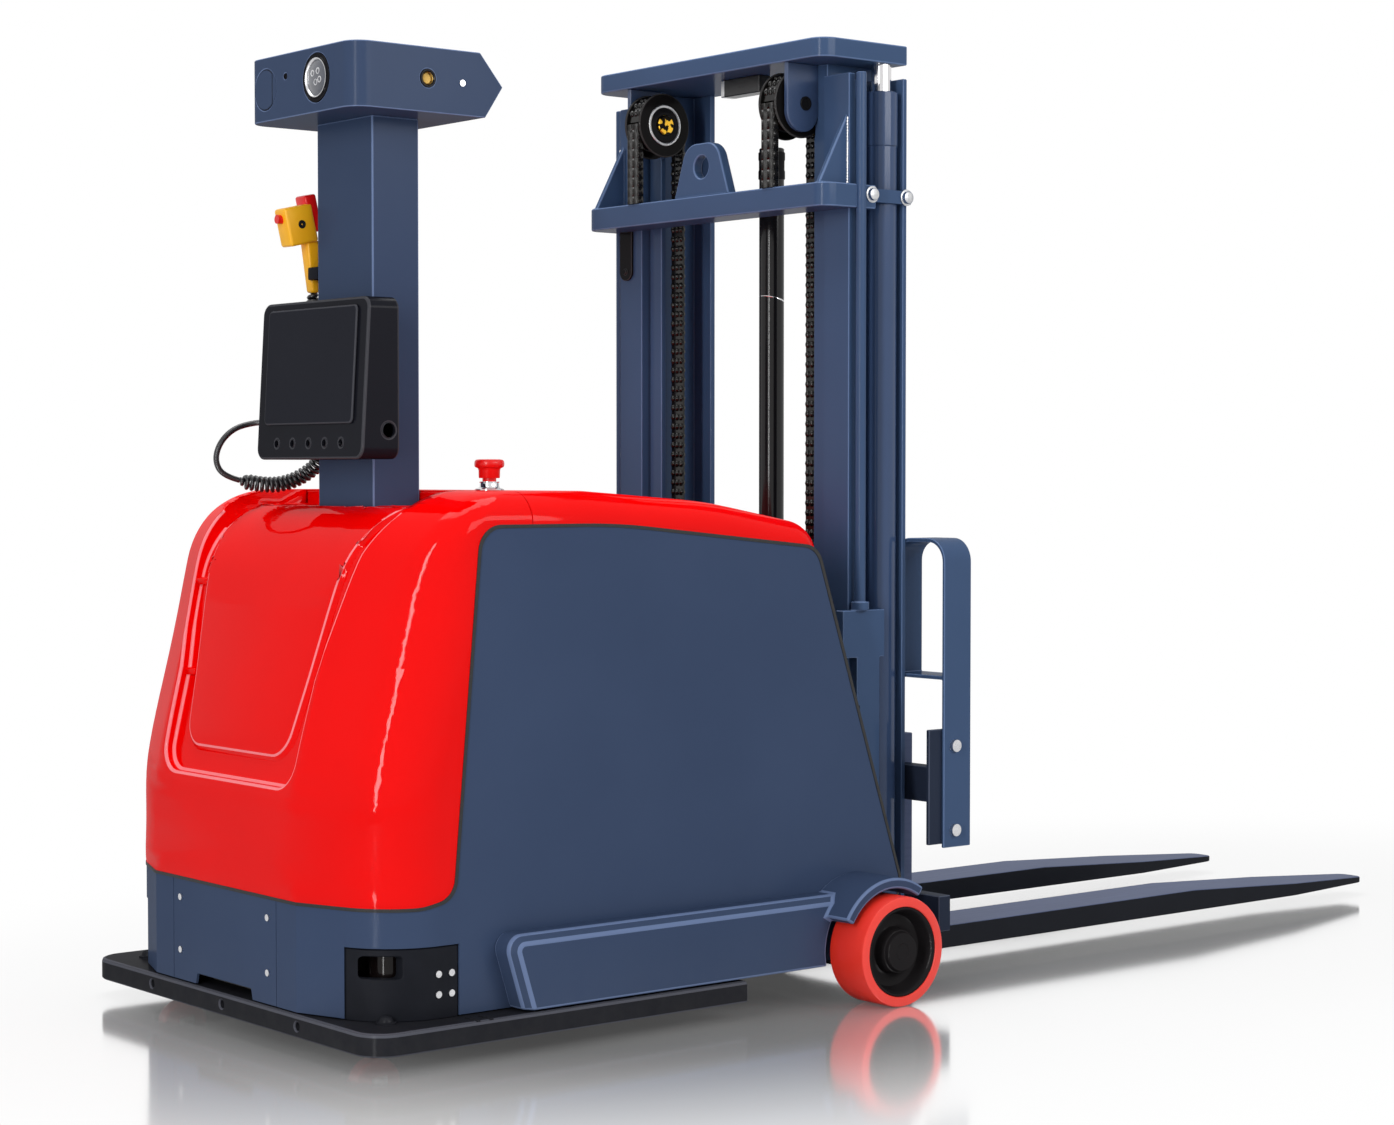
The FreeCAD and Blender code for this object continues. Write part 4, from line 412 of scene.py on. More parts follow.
def eased(node, finish, width=0.0015, segments=1, keep=None, reshape=None):
    """Replaces a CAD piece by a copy whose sharp edges are rounded, and marks the rounded faces for a painted
    edge highlight.
    """
    shape = merged(node)
    if reshape:
        reshape(shape)
    edges = sharp_edges(shape, keep=keep)
    edge_highlight_layer = shape.faces.layers.float.new("painted_edge_highlight")
    made = bmesh.ops.bevel(shape, geom=edges, offset=width, offset_type="OFFSET", segments=segments,
                           profile=0.5, affect="EDGES", material=-1, clamp_overlap=False)
    # Marks the rounded faces, where the coats paint a highlight.
    for face in made["faces"]:
        face[edge_highlight_layer] = 1.0
    piece = link_mesh(f"{node}_eased", shape, finish)
    flat = piece.modifiers.new("flat_faces", "WEIGHTED_NORMAL")
    flat.keep_sharp = True
    fitted(piece, body_of[node], slot_of[node], node)


body_of = {node: body for body, nodes in frame["record"]["behaviour"]["bodies"].items() for node in nodes}
slot_of = {part["node"]: part["material_slot"] for part in frame["record"]["subparts"]}

black_coat = coated("black_coat", (0.008, 0.009, 0.013, 1), (0.014, 0.015, 0.021, 1), 0.36,
                    low_dust=0.1, gleam=0.10, edge=3.5)
dress(black_coat, "chassis_frame", "caster_mounts", "hydraulic_unit", "drive_unit")
eased("base_plate", black_coat, 0.003)


def moved_cube(name, low, high, finish, ease, steps=2, shape_it=None):
    """A block between two corners, reshaped if asked, with rounded edges."""
    shape = bmesh.new()
    bmesh.ops.create_cube(shape, size=1)
    low, high = Vector(low), Vector(high)
    bmesh.ops.scale(shape, vec=high - low, verts=shape.verts)
    bmesh.ops.translate(shape, vec=(low + high) / 2, verts=shape.verts)
    if shape_it:
        shape_it(shape)
    bmesh.ops.bevel(shape, geom=shape.edges[:], offset=ease, offset_type="OFFSET", segments=steps,
                    profile=0.5, affect="EDGES", material=-1)
    return link_mesh(name, shape, finish)


# Domed plugs on the plate's corners and the two small clips on each long edge.
for side_name, sign in (("near", -1), ("far", 1)):
    plug = spun(f"plate_plug_{side_name}",
                [(0.0, 0.0), (0.019, 0.0), (0.019, 0.003), (0.014, 0.0045), (0.0125, 0.009), (0.010, 0.0125),
                 (0.005, 0.0145), (0.0, 0.015)], at(0.085, sign * 0.454, 0.080), (0, 0, 1), black_coat, 32)
    fitted(plug, "chassis", "plate_black")
    for number, clip_x in enumerate((0.232, 0.262)):
        low = at(clip_x - 0.0035, sign * 0.520 - 0.020, 0.079)
        high = at(clip_x + 0.0035, sign * 0.520 + 0.0205, 0.0825)
        clip = moved_cube(f"plate_clip_{side_name}_{number}", low, high, black_coat, 0.001)
        fitted(clip, "chassis", "plate_black")

# ---------------------------------------------------------------- battery, counterweight and lower wheels
# A moulded battery case, a rough iron casting, pressed steel caster forks with dark red wheels, and
# the polyurethane drive wheel.

moulded, wire, place = new_finish("battery_plastic")
shade(wire, {"Base Color": mixed(noise(place, 14, 3), (0.02, 0.02, 0.022, 1), (0.035, 0.035, 0.037, 1)),
             "Roughness": 0.5 + noise(place, 60) * 0.2}, noise(place, 1300, 2), 0.00005)
dress(moulded, "battery")

casting, wire, place = new_finish("cast_iron")
shade(wire, {"Base Color": mixed(noise(place, 25, 5), (0.05, 0.048, 0.047, 1), (0.1, 0.095, 0.09, 1)),
             "Roughness": 0.6 + noise(place, 40) * 0.25}, noise(place, 240, 5, 0.7), 0.0007)
dress(casting, "counterweight")

zinc, wire, place = new_finish("zinc_plate")
spangle = wire.node("ShaderNodeTexVoronoi", values={"Vector": place, "Scale": 160})
shade(wire, {"Base Color": mixed(spangle, (0.42, 0.43, 0.44, 1), (0.6, 0.6, 0.61, 1)), "Metallic": 1.0,
             "Roughness": 0.28 + noise(place, 50, 3) * 0.2})
dress(zinc, "caster_fork_near", "caster_fork_far", "load_axle", "carriage_rollers_lower",
      "carriage_rollers_upper")

dark_tread, wire, place = new_finish("dark_red_tread")
shade(wire, {"Base Color": mixed(noise(place, 12, 4), (0.16, 0.012, 0.012, 1), (0.26, 0.02, 0.018, 1)),
             "Roughness": 0.42 + noise(place, 35, 3) * 0.18}, noise(place, 500, 3), 0.00008)
dress(dark_tread, "caster_wheel_near", "caster_wheel_far", "drive_wheel")

# ---------------------------------------------------------------- load wheels
# Cast hub, dished and painted black, with a pressed cap over the axle end and a cast-on tyre of
# orange-red polyurethane.

tyre_finish, wire, place = new_finish("tyre_polyurethane")
shade(wire, {"Base Color": mixed(noise(place, 9, 4), (0.80, 0.022, 0.012, 1), (0.92, 0.045, 0.025, 1)),
             "Roughness": 0.3 + noise(place, 45, 4) * 0.2, "Coat Weight": 0.15, "Coat Roughness": 0.25},
      noise(place, 700, 2), 0.00005)
hub_finish = coated("hub_black", (0.010, 0.009, 0.010, 1), (0.018, 0.016, 0.017, 1), 0.3, peel=0.0001)

for side_name, sign in (("near", -1), ("far", 1)):
    spot = at(1.218, sign * 0.634, 0.113)
    outward = (0, sign, 0)
    tyre = spun(f"load_tyre_{side_name}",
                [(0.092, -0.1), (0.107, -0.1), (0.1115, -0.0985), (0.113, -0.094), (0.113, -0.006),
                 (0.1115, -0.0015), (0.107, 0.0), (0.0935, 0.0), (0.092, -0.002), (0.092, -0.1)],
                spot, outward, tyre_finish, 96)
    hub = spun(f"load_hub_{side_name}",
               [(0.0202, -0.1), (0.092, -0.1), (0.092, -0.003), (0.0895, -0.0012), (0.087, -0.0012),
                (0.0855, -0.003), (0.083, -0.0065), (0.0805, -0.0125), (0.079, -0.026), (0.074, -0.0335),
                (0.066, -0.036),
                (0.054, -0.0365), (0.0485, -0.034), (0.0462, -0.029), (0.0455, -0.014), (0.044, -0.0108),
                (0.0415, -0.0098), (0.0408, -0.0085), (0.0402, -0.003), (0.0385, -0.0008), (0.035, 0.0),
                (0.018, -0.0004), (0.0165, -0.0018), (0.012, -0.0024), (0.0, -0.0026), (0.0, -0.0082),
                (0.0202, -0.0082), (0.0202, -0.1)], spot, outward, hub_finish, 96)
    for part, slot in ((tyre, "wheel_tyre"), (hub, "frame_black")):
        fitted(part, f"load_wheel_{side_name}", slot, f"load_wheel_{side_name}")

# ---------------------------------------------------------------- side panels, fenders and tower
# Pressed and bent steel sheet in blue-grey satin powder coat, hung on the frame; the fender pods and
# wheel arches are bolted on from inside, and the tower is a welded box tube.

SEAL_RISE = 0.0024  # how far the seal's bead stands out of the seam

grey_coat = coated("grey_coat", (0.037, 0.058, 0.114, 1), (0.048, 0.073, 0.139, 1), 0.34,
                   low_dust=0.08, edge=2.2)
dress(grey_coat, "side_panel_near", "side_panel_far", "front_access_panel")
for node in ("fender_near", "fender_far"):
    eased(node, grey_coat, 0.005, 3)
eased("sensor_tower", grey_coat, 0.003, 2)

seal_rubber, wire, place = new_finish("seal_rubber")
shade(wire, {"Base Color": mixed(noise(place, 60), (0.003, 0.003, 0.003, 1), (0.008, 0.008, 0.008, 1)),
             "Roughness": 0.6 + noise(place, 200) * 0.2})


def swollen(shape):
    """Presses the seal's bead out of the seam."""
    shape.normal_update()
    bead = [(corner, corner.co + corner.normal * SEAL_RISE) for corner in shape.verts]
    for corner, spot in bead:
        corner.co = spot


eased("panel_seal", seal_rubber, keep=lambda edge: False, reshape=swollen)

bright_steel, wire, place = new_finish("bright_steel")
turned_marks = noise(place, 900, 2)
shade(wire, {"Base Color": mixed(noise(place, 80), (0.52, 0.52, 0.54, 1), (0.72, 0.72, 0.73, 1)),
             "Metallic": 1.0, "Roughness": 0.2 + turned_marks * 0.18}, turned_marks, 0.00003)
dress(bright_steel, "panel_screws", "carriage_bolts")

# ---------------------------------------------------------------- hood and rear cover
# Vacuum-formed plastic covers in bright red under a clear coat, fixed to the frame from inside; the
# front one has a sunken U-shaped panel with a raised middle, and the tower stands in its recess.

RECESS_HALF, RECESS_BACK, RECESS_FOOT = 0.345, 0.20, 0.48  # bounds round the sunken panel's edges
BIB_FOOT, BIB_HALF, BIB_SLOPE, BIB_CORNER = 0.540, 0.196, 0.172, 0.055
BIB_BACK, BIB_TOP_RISE, BIB_MARGIN, BIB_RISE, BIB_ROUND = 0.262, 0.5, 0.010, 0.0085, 0.0025
CORNER_STEPS = 8

gloss_red, wire, place = new_finish("gloss_red")
flow = noise(place, 5, 2)
# Painted highlight: pale pink on the marked rims of the sunken panel and of the raised middle.
painted_rim_highlight = wire.node("ShaderNodeAttribute", {"attribute_name": "painted_edge_highlight"}, out=2) * 0.55
pigment = mixed(flow, (0.78, 0.0006, 0.0005, 1), (0.86, 0.0008, 0.0007, 1))
shade(wire, {"Base Color": mixed(painted_rim_highlight, pigment, (1.0, 0.42, 0.46, 1)),
             "Roughness": 0.17 + noise(place, 14, 3) * 0.06, "Coat Weight": 0.22, "Coat Roughness": 0.03,
             "Specular IOR Level": 0.0}, noise(place, 900, 1), 0.00001)


def on_recess(edge):
    """Keeps to the edges of the sunken panel, clear of the hood's seams."""
    middle = (edge.verts[0].co + edge.verts[1].co) / 2
    inside = abs(middle.y) < RECESS_HALF and middle.x < at(RECESS_BACK, 0, 0).x and middle.z > RECESS_FOOT
    return inside and all(face.normal.x < 0.3 for face in edge.link_faces)


eased("front_hood", gloss_red, 0.005, 3, on_recess)
dress(gloss_red, "rear_top_cover")

def bib_outline():
    """Half of the U: (y, z) from its foot on the centre line, round the corner and up the leg."""
    sideways = [(BIB_HALF - BIB_CORNER * (1 - math.sin(turn)), BIB_CORNER * (1 - math.cos(turn)))
                for turn in (math.pi / 2 * step / CORNER_STEPS for step in range(CORNER_STEPS + 1))]
    leg = [(y + BIB_SLOPE * rise, BIB_FOOT + rise) for y, rise in sideways + [(BIB_HALF, BIB_TOP_RISE)]]
    return [(0.0, BIB_FOOT)] + leg


# The raised middle of the sunken panel: the hood's own surface inside the U, lifted off the floor of
# the recess with a rounded rim.
bib = merged("front_hood")
skin_tree = BVHTree.FromBMesh(bib)
corners = bib_outline()
for (y_one, z_one), (y_two, z_two) in zip(corners, corners[1:]):
    for sign in (-1, 1):
        outward = Vector((0, sign * (z_two - z_one), -(y_two - y_one)))
        bmesh.ops.bisect_plane(bib, geom=bib.verts[:] + bib.edges[:] + bib.faces[:], dist=1e-6,
                               plane_co=at(0, sign * y_one, z_one), plane_no=outward, clear_outer=True)
bmesh.ops.bisect_plane(bib, geom=bib.verts[:] + bib.edges[:] + bib.faces[:], dist=1e-6,
                       plane_co=at(BIB_BACK, 0, 0), plane_no=(1, 0, 0), clear_outer=True)
inner_skin = [face for face in bib.faces if face.normal.x > -0.02]
bmesh.ops.delete(bib, geom=inner_skin, context="FACES")
bmesh.ops.inset_region(bib, faces=bib.faces[:], thickness=BIB_MARGIN, depth=BIB_RISE, use_boundary=True,
                       use_even_offset=True, use_outset=False)
rim = sharp_edges(bib, 25)
# The rounded rim is marked for the painted highlight in gloss_red.
rim_highlight_layer = bib.faces.layers.float.new("painted_edge_highlight")
made = bmesh.ops.bevel(bib, geom=rim, offset=BIB_ROUND, offset_type="OFFSET", segments=2, profile=0.5,
                       affect="EDGES", material=-1, clamp_overlap=False)
for face in made["faces"]:
    face[rim_highlight_layer] = 1.0
fitted(link_mesh("hood_bib", bib, gloss_red), "chassis", "hood_red")

# The lip that closes the step up from the recess to the rear cover, behind the tower.
lip = moved_cube("hood_lip", at(0.4005, -0.330, 1.022), at(0.4045, 0.330, 1.0515), gloss_red, 0.001, 1)
fitted(lip, "chassis", "hood_red")

# Two small bridges across the far leg of the U, standing on the floor of the recess.
for number, (rib_low, rib_high, rib_z) in enumerate(((0.219, 0.256, 0.690), (0.249, 0.291, 0.870))):
    ground = skin_tree.ray_cast(at(-0.2, (rib_low + rib_high) / 2, rib_z), (1, 0, 0))[0]
    rib = moved_cube(f"hood_bridge_{number}", (ground.x - 0.010, rib_low, rib_z - 0.007),
                     (ground.x + 0.006, rib_high, rib_z + 0.007), gloss_red, 0.004, 3)
    fitted(rib, "chassis", "hood_red")

# ---------------------------------------------------------------- scanners
# Moulded housings of grained black plastic, screwed into the corners of the nose, with the dark
# window of a laser scanner behind the slot of each.

grained, wire, place = new_finish("grained_plastic")
shade(wire, {"Base Color": mixed(noise(place, 20), (0.006, 0.007, 0.010, 1), (0.011, 0.012, 0.017, 1)),
             "Roughness": 0.42 + noise(place, 90) * 0.15, "Specular IOR Level": 0.08},
      noise(place, 1500, 2), 0.00006)
eased("scanner_housings", grained, 0.0015)

scanner_glass, wire, place = new_finish("scanner_glass")
shade(wire, {"Base Color": mixed(noise(place, 20), (0.004, 0.003, 0.003, 1), (0.008, 0.005, 0.005, 1)),
             "Roughness": 0.08 + noise(place, 60) * 0.06, "Specular IOR Level": 0.2})
dress(scanner_glass, "laser_scanners")

# ---------------------------------------------------------------- sensor head
# Folded sheet box on the tower, in the panels' coat, with a camera behind a bulging glass, a flush
# blanking disc and a small eye in its front, and a brass eye in its side.

HEAD_FACE = 0.184  # X of the head's front
COVER_Y, COVER_Z = 0.127, 1.853

lens_finish, wire, place = new_finish("lens_glass")
shade(wire, {"Base Color": mixed(noise(place, 60), (0.02, 0.025, 0.04, 1), (0.05, 0.06, 0.09, 1)),
             "Roughness": 0.05 + noise(place, 30) * 0.04, "Coat Weight": 1.0, "Coat Roughness": 0.02})

eased("sensor_head", grey_coat, 0.0022, 2)
ring_black = coated("ring_black", (0.006, 0.006, 0.008, 1), (0.012, 0.012, 0.015, 1), 0.25)
brass, wire, place = new_finish("brass")
shade(wire, {"Base Color": mixed(noise(place, 400), (0.16, 0.10, 0.03, 1), (0.30, 0.19, 0.05, 1)),
             "Metallic": 1.0, "Roughness": 0.25 + noise(place, 900) * 0.2})

lens_spot = at(HEAD_FACE, -0.065, 1.857)
face_out = (-1, 0, 0)
bezel = spun("camera_bezel",
             [(0.0, -0.006), (0.048, -0.006), (0.048, 0.0), (0.0474, 0.0012), (0.0455, 0.0012),
              (0.0448, 0.0002), (0.0415, 0.0002), (0.0405, 0.0016), (0.0388, 0.0020), (0.0372, 0.0010),
              (0.0355, -0.0030), (0.0330, -0.0040), (0.0, -0.0040), (0.0, -0.006)],
             lens_spot, face_out, ring_black, 64)
fitted(bezel, "chassis", "lens_glass", "head_sensors")
trim = spun("camera_trim",
            [(0.0352, -0.0016), (0.0364, 0.0010), (0.0376, 0.0018), (0.0382, 0.0022), (0.0372, 0.0026),
             (0.0356, 0.0014), (0.0344, -0.0012), (0.0352, -0.0016)],
            lens_spot, face_out, bright_steel, 64)
fitted(trim, "chassis", "steel")
glass = spun("camera_glass",
             [(0.0, -0.0045), (0.0345, -0.0045), (0.0345, -0.0018), (0.030, 0.0), (0.020, 0.0016),
              (0.010, 0.0023), (0.0, 0.0025), (0.0, -0.0045)],
             lens_spot, face_out, lens_finish)
fitted(glass, "chassis", "lens_glass")
lamp_spots = ((-0.055, 1.866), (-0.074, 1.869), (-0.066, 1.848), (-0.080, 1.852))
for number, (lamp_y, lamp_z) in enumerate(lamp_spots):
    lamp_cup = spun(f"camera_lamp_{number}",
                    [(0.0, 0.0008), (0.0065, 0.0008), (0.0065, 0.0022), (0.0052, 0.0028), (0.0040, 0.0018),
                     (0.0, 0.0014), (0.0, 0.0008)],
                    at(HEAD_FACE, lamp_y, lamp_z), face_out, bright_steel, 24)
    fitted(lamp_cup, "chassis", "steel")


def d_shape(name, radius, flat, low, high, finish):
    """A round plate with one side cut straight, between two heights over the head's front."""
    shape = bmesh.new()
    bmesh.ops.create_circle(shape, cap_ends=True, segments=64, radius=radius)
    bmesh.ops.bisect_plane(shape, geom=shape.verts[:] + shape.edges[:] + shape.faces[:], dist=1e-6,
                           plane_co=(0, -flat, 0), plane_no=(0, -1, 0), clear_outer=True)
    lifted_faces = bmesh.ops.extrude_face_region(shape, geom=shape.faces[:])["geom"]
    top = [part for part in lifted_faces if isinstance(part, bmesh.types.BMVert)]
    bmesh.ops.translate(shape, vec=(0, 0, high - low), verts=top)
    bmesh.ops.recalc_face_normals(shape, faces=shape.faces)
    edges = sharp_edges(shape)
    bmesh.ops.bevel(shape, geom=edges, offset=0.0006, offset_type="OFFSET", segments=1, profile=0.5,
                    affect="EDGES", material=-1)
    turned = Matrix(((0, 0, -1, NOSE + HEAD_FACE - low), (0, 1, 0, COVER_Y), (1, 0, 0, COVER_Z),
                     (0, 0, 0, 1)))
    bmesh.ops.transform(shape, matrix=turned, verts=shape.verts)
    bmesh.ops.recalc_face_normals(shape, faces=shape.faces)
    return link_mesh(name, shape, finish)


fitted(d_shape("cover_gap", 0.0405, 0.027, -0.006, 0.0002, ring_black), "chassis", "lens_glass")
fitted(d_shape("cover_disc", 0.0388, 0.0255, -0.005, 0.0009, grey_coat), "chassis", "tower_grey")
seat_fill = spun("cover_seat",
                 [(0.0, -0.006), (0.041, -0.006), (0.041, -0.0003), (0.0, -0.0003), (0.0, -0.006)],
                 at(HEAD_FACE, COVER_Y, COVER_Z), face_out, grey_coat, 64)
fitted(seat_fill, "chassis", "tower_grey")
small_eye = spun("small_eye",
                 [(0.0, -0.006), (0.006, -0.006), (0.006, 0.0004), (0.0052, 0.0012), (0.0038, 0.0006),
                  (0.0030, -0.003), (0.0, -0.0035), (0.0, -0.006)],
                 at(HEAD_FACE, 0.050, 1.872), face_out, ring_black, 24)
fitted(small_eye, "chassis", "lens_glass")
side_eye_spot, side_out = at(0.354, -0.200, 1.856), (0, -1, 0)
side_eye = spun("side_eye_rim",
                [(0.0, -0.006), (0.018, -0.006), (0.018, 0.0006), (0.0172, 0.0018), (0.0148, 0.0018),
                 (0.0135, 0.0004), (0.0128, -0.005), (0.0, -0.005), (0.0, -0.006)],
                side_eye_spot, side_out, ring_black, 40)
fitted(side_eye, "chassis", "lens_glass")
side_cup = spun("side_eye_cup",
                [(0.0128, -0.0052), (0.0128, -0.0006), (0.0120, 0.0), (0.0108, -0.0010), (0.0098, -0.0046),
                 (0.0060, -0.0049), (0.0, -0.0049), (0.0, -0.0052), (0.0128, -0.0052)],
                side_eye_spot, side_out, brass, 40)
fitted(side_cup, "chassis", "steel")

# ---------------------------------------------------------------- control box
# Sheet-steel box with softly rounded edges in near-black paint, bolted to the tower, with a matt
# screen plate glued on its slanted front.

box_coat = coated("box_coat", (0.0075, 0.008, 0.0115, 1), (0.012, 0.0125, 0.018, 1), 0.30, gleam=0.14)
eased("control_box", box_coat, 0.005, 3)
screen_coat = coated("screen_glass", (0.013, 0.014, 0.020, 1), (0.017, 0.018, 0.025, 1), 0.38,
                     peel=0.00001, gleam=0.10)
eased("control_screen", screen_coat, 0.0035, 3)

# ---------------------------------------------------------------- pendant and emergency stop
# Tough yellow and red injection mouldings: the hand control leans on the tower in a black holder,
# and the mushroom button slides in a chromed collar on the rear cover.

yellow, wire, place = new_finish("yellow_moulding")
shade(wire, {"Base Color": mixed(noise(place, 18, 3), (0.95, 0.42, 0.005, 1), (1.0, 0.52, 0.008, 1)),
             "Roughness": 0.34 + noise(place, 70, 3) * 0.14}, noise(place, 1200, 2), 0.00004)
red_moulding, wire, place = new_finish("red_moulding")
shade(wire, {"Base Color": mixed(noise(place, 18, 3), (0.66, 0.004, 0.004, 1), (0.78, 0.007, 0.006, 1)),
             "Roughness": 0.24 + noise(place, 70, 3) * 0.1, "Specular IOR Level": 0.4},
      noise(place, 900, 2), 0.00003)
dress(red_moulding, "pendant_button")

LEAN = Matrix.Translation(at(0.268, 0.150, 1.590)) @ Matrix.Rotation(math.radians(-13), 4, "Y")


def leaning(shape):
    """Leans a shape the way the hand control does, and sets it in its place."""
    bmesh.ops.transform(shape, matrix=LEAN, verts=shape.verts)


def tapered_grip(shape):
    """Narrows the lower end of the grip and draws it back."""
    lower = [corner for corner in shape.verts if corner.co.z < 1.5]
    middle = sum((corner.co for corner in lower), Vector()) / len(lower)
    for corner in lower:
        corner.co = middle + (corner.co - middle) * Vector((0.62, 0.8, 1))
    bmesh.ops.translate(shape, vec=(0.008, 0, 0), verts=lower)


hand_box = moved_cube("pendant_box", (-0.033, -0.022, -0.039), (0.033, 0.022, 0.039), yellow, 0.006, 3,
                      leaning)
fitted(hand_box, "chassis", "pendant_yellow", "pendant")
grip = moved_cube("pendant_grip", at(0.284, 0.135, 1.455), at(0.314, 0.165, 1.562), yellow, 0.005, 3,
                  tapered_grip)
fitted(grip, "chassis", "pendant_yellow")
back_cap = moved_cube("pendant_back", (0.020, -0.020, -0.020), (0.048, 0.020, 0.056), red_moulding, 0.005, 3,
                      leaning)
fitted(back_cap, "chassis", "button_red")
holder = moved_cube("pendant_holder", at(0.286, 0.101, 1.480), at(0.313, 0.137, 1.505), black_coat, 0.002)
fitted(holder, "chassis", "frame_black")
pocket = spun("pendant_screw_hole",
              [(0.0, 0.0), (0.0085, 0.0), (0.0085, 0.0012), (0.0075, 0.0016), (0.006, 0.0008), (0.0, 0.0004),
               (0.0, 0.0)], at(0.268, 0.1285, 1.591), (0, -1, 0), black_coat, 24)
fitted(pocket, "chassis", "frame_black")

stop_spot = at(0.518, -0.170, 0)
stop_head = spun("stop_mushroom",
                 [(0.0, 1.117), (0.022, 1.1168), (0.0272, 1.1155), (0.0295, 1.1125), (0.030, 1.109),
                  (0.030, 1.105), (0.0288, 1.1015), (0.0262, 1.100), (0.0228, 1.0985), (0.0216, 1.095),
                  (0.0212, 1.081), (0.0204, 1.079), (0.0138, 1.079), (0.0138, 1.040), (0.0, 1.040)],
                 stop_spot, (0, 0, 1), red_moulding, 64)
fitted(stop_head, "estop_button", "button_red", "estop_button")
chrome, wire, place = new_finish("chrome_plate")
x, y, z = axes_of(place)
drawn = noise(place.node("ShaderNodeCombineXYZ", values={0: x * 900, 1: y * 900, 2: z * 12}), 1, 2)
shade(wire, {"Base Color": mixed(drawn, (0.62, 0.61, 0.62, 1), (0.78, 0.77, 0.78, 1)), "Metallic": 1.0,
             "Roughness": 0.05 + drawn * 0.08})
dress(chrome, "lift_rods")
stop_collar = spun("stop_collar",
                   [(0.0145, 1.0552), (0.0295, 1.0552), (0.0295, 1.0572), (0.0262, 1.0592), (0.0210, 1.0605),
                    (0.0196, 1.0625), (0.0193, 1.0700), (0.0202, 1.0712), (0.0202, 1.0722),
                    (0.0145, 1.0722), (0.0145, 1.0552)], stop_spot, (0, 0, 1), chrome, 64)
fitted(stop_collar, "chassis", "steel", "estop_collar")

# ---------------------------------------------------------------- mast
# Rolled channels, burnt plates and honed tubes, welded and bolted, in blue-grey paint like the
# panels; the centre cylinder, latch plate and switch are black.

FLANGE_TIP, DRAWN_TIP, FLANGE_BACK = 0.234, 0.262, 1.33  # Y of the flange's edge as solid and as drawn
TIE_BOLT_Z = 1.676
WELD_DROPS, WELD_STEP, WELD_FOOT = 22, 0.0064, 1.700
PULLEY_X, PULLEY_Z, PULLEY_Y = 1.266, 1.875, 0.232

mast_coat = coated("mast_coat", (0.042, 0.078, 0.160, 1), (0.055, 0.097, 0.195, 1), 0.31,
                   peel=0.00006, gleam=0.25)
for node in ("outer_channels", "mast_stays", "load_backrest"):
    eased(node, mast_coat, 0.0018)


def shorter_front_flange(shape):
    """Draws the front flange's free edge back, so that the lift chain runs clear beside it."""
    for corner in shape.verts:
        if abs(abs(corner.co.y) - FLANGE_TIP) < 0.001 and corner.co.x < at(FLANGE_BACK, 0, 0).x:
            corner.co.y = math.copysign(DRAWN_TIP, corner.co.y)


eased("inner_channels", mast_coat, 0.0018, reshape=shorter_front_flange)
for node in ("mast_tie", "mast_top_plate", "lifting_lug"):
    eased(node, mast_coat, 0.003, 2)
tube_black = coated("tube_black", (0.007, 0.007, 0.008, 1), (0.013, 0.013, 0.015, 1), 0.26)
eased("mast_latch", tube_black, 0.0015)

# Barrels are painted like the mast and the centre one black; straps hold them to the tie.
cylinder_coat, wire, place = new_finish("cylinder_coat")
centre = wire.maths("ABSOLUTE", axes_of(place)[1]) < 0.1
skin = noise(place, 420, 1)
blue = mixed(noise(place, 3.5, 3), (0.037, 0.065, 0.142, 1), (0.048, 0.082, 0.172, 1))
shade(wire, {"Base Color": mixed(centre, blue, (0.007, 0.007, 0.008, 1)),
             "Roughness": 0.27 + noise(place, 12, 3) * 0.1, "Specular IOR Level": 0.0, "Coat Weight": 0.6,
             "Coat Roughness": 0.12}, skin, 0.00003)
eased("lift_cylinders", cylinder_coat, 0.002)
dress(mast_coat, "cylinder_clamps")
tube_ring = spun("centre_tube_ring",
                 [(0.0282, -0.0015), (0.0290, -0.0006), (0.0290, 0.0006), (0.0282, 0.0015),
                  (0.0282, -0.0015)],
                 at(1.410, 0, 1.478), (0.26, 0.0, 0.966), chrome)
fitted(tube_ring, "chassis", "steel")
tube_gland = spun("centre_tube_gland",
                  [(0.0279, 0.0), (0.0300, 0.002), (0.0300, 0.018), (0.0288, 0.021), (0.0288, 0.042),
                   (0.0300, 0.045), (0.0300, 0.060), (0.0279, 0.0615), (0.0279, 0.0)],
                  at(1.410, 0, 1.745), (0, 0, 1), tube_black)
fitted(tube_gland, "chassis", "tube_black")


def bolt(name, spot, out, body, size=0.013):
    """A zinc-plated cap screw with its washer."""
    head = spun(name,
                [(0.0, 0.0), (size * 1.35, 0.0), (size * 1.35, 0.0018), (size * 1.28, 0.0024), (size, 0.0024),
                 (size, 0.0070), (size * 0.93, 0.0088), (size * 0.7, 0.0098), (size * 0.4, 0.0102),
                 (0.0, 0.0104), (0.0, 0.0)], spot, out, zinc, 24)
    fitted(head, body, "steel")


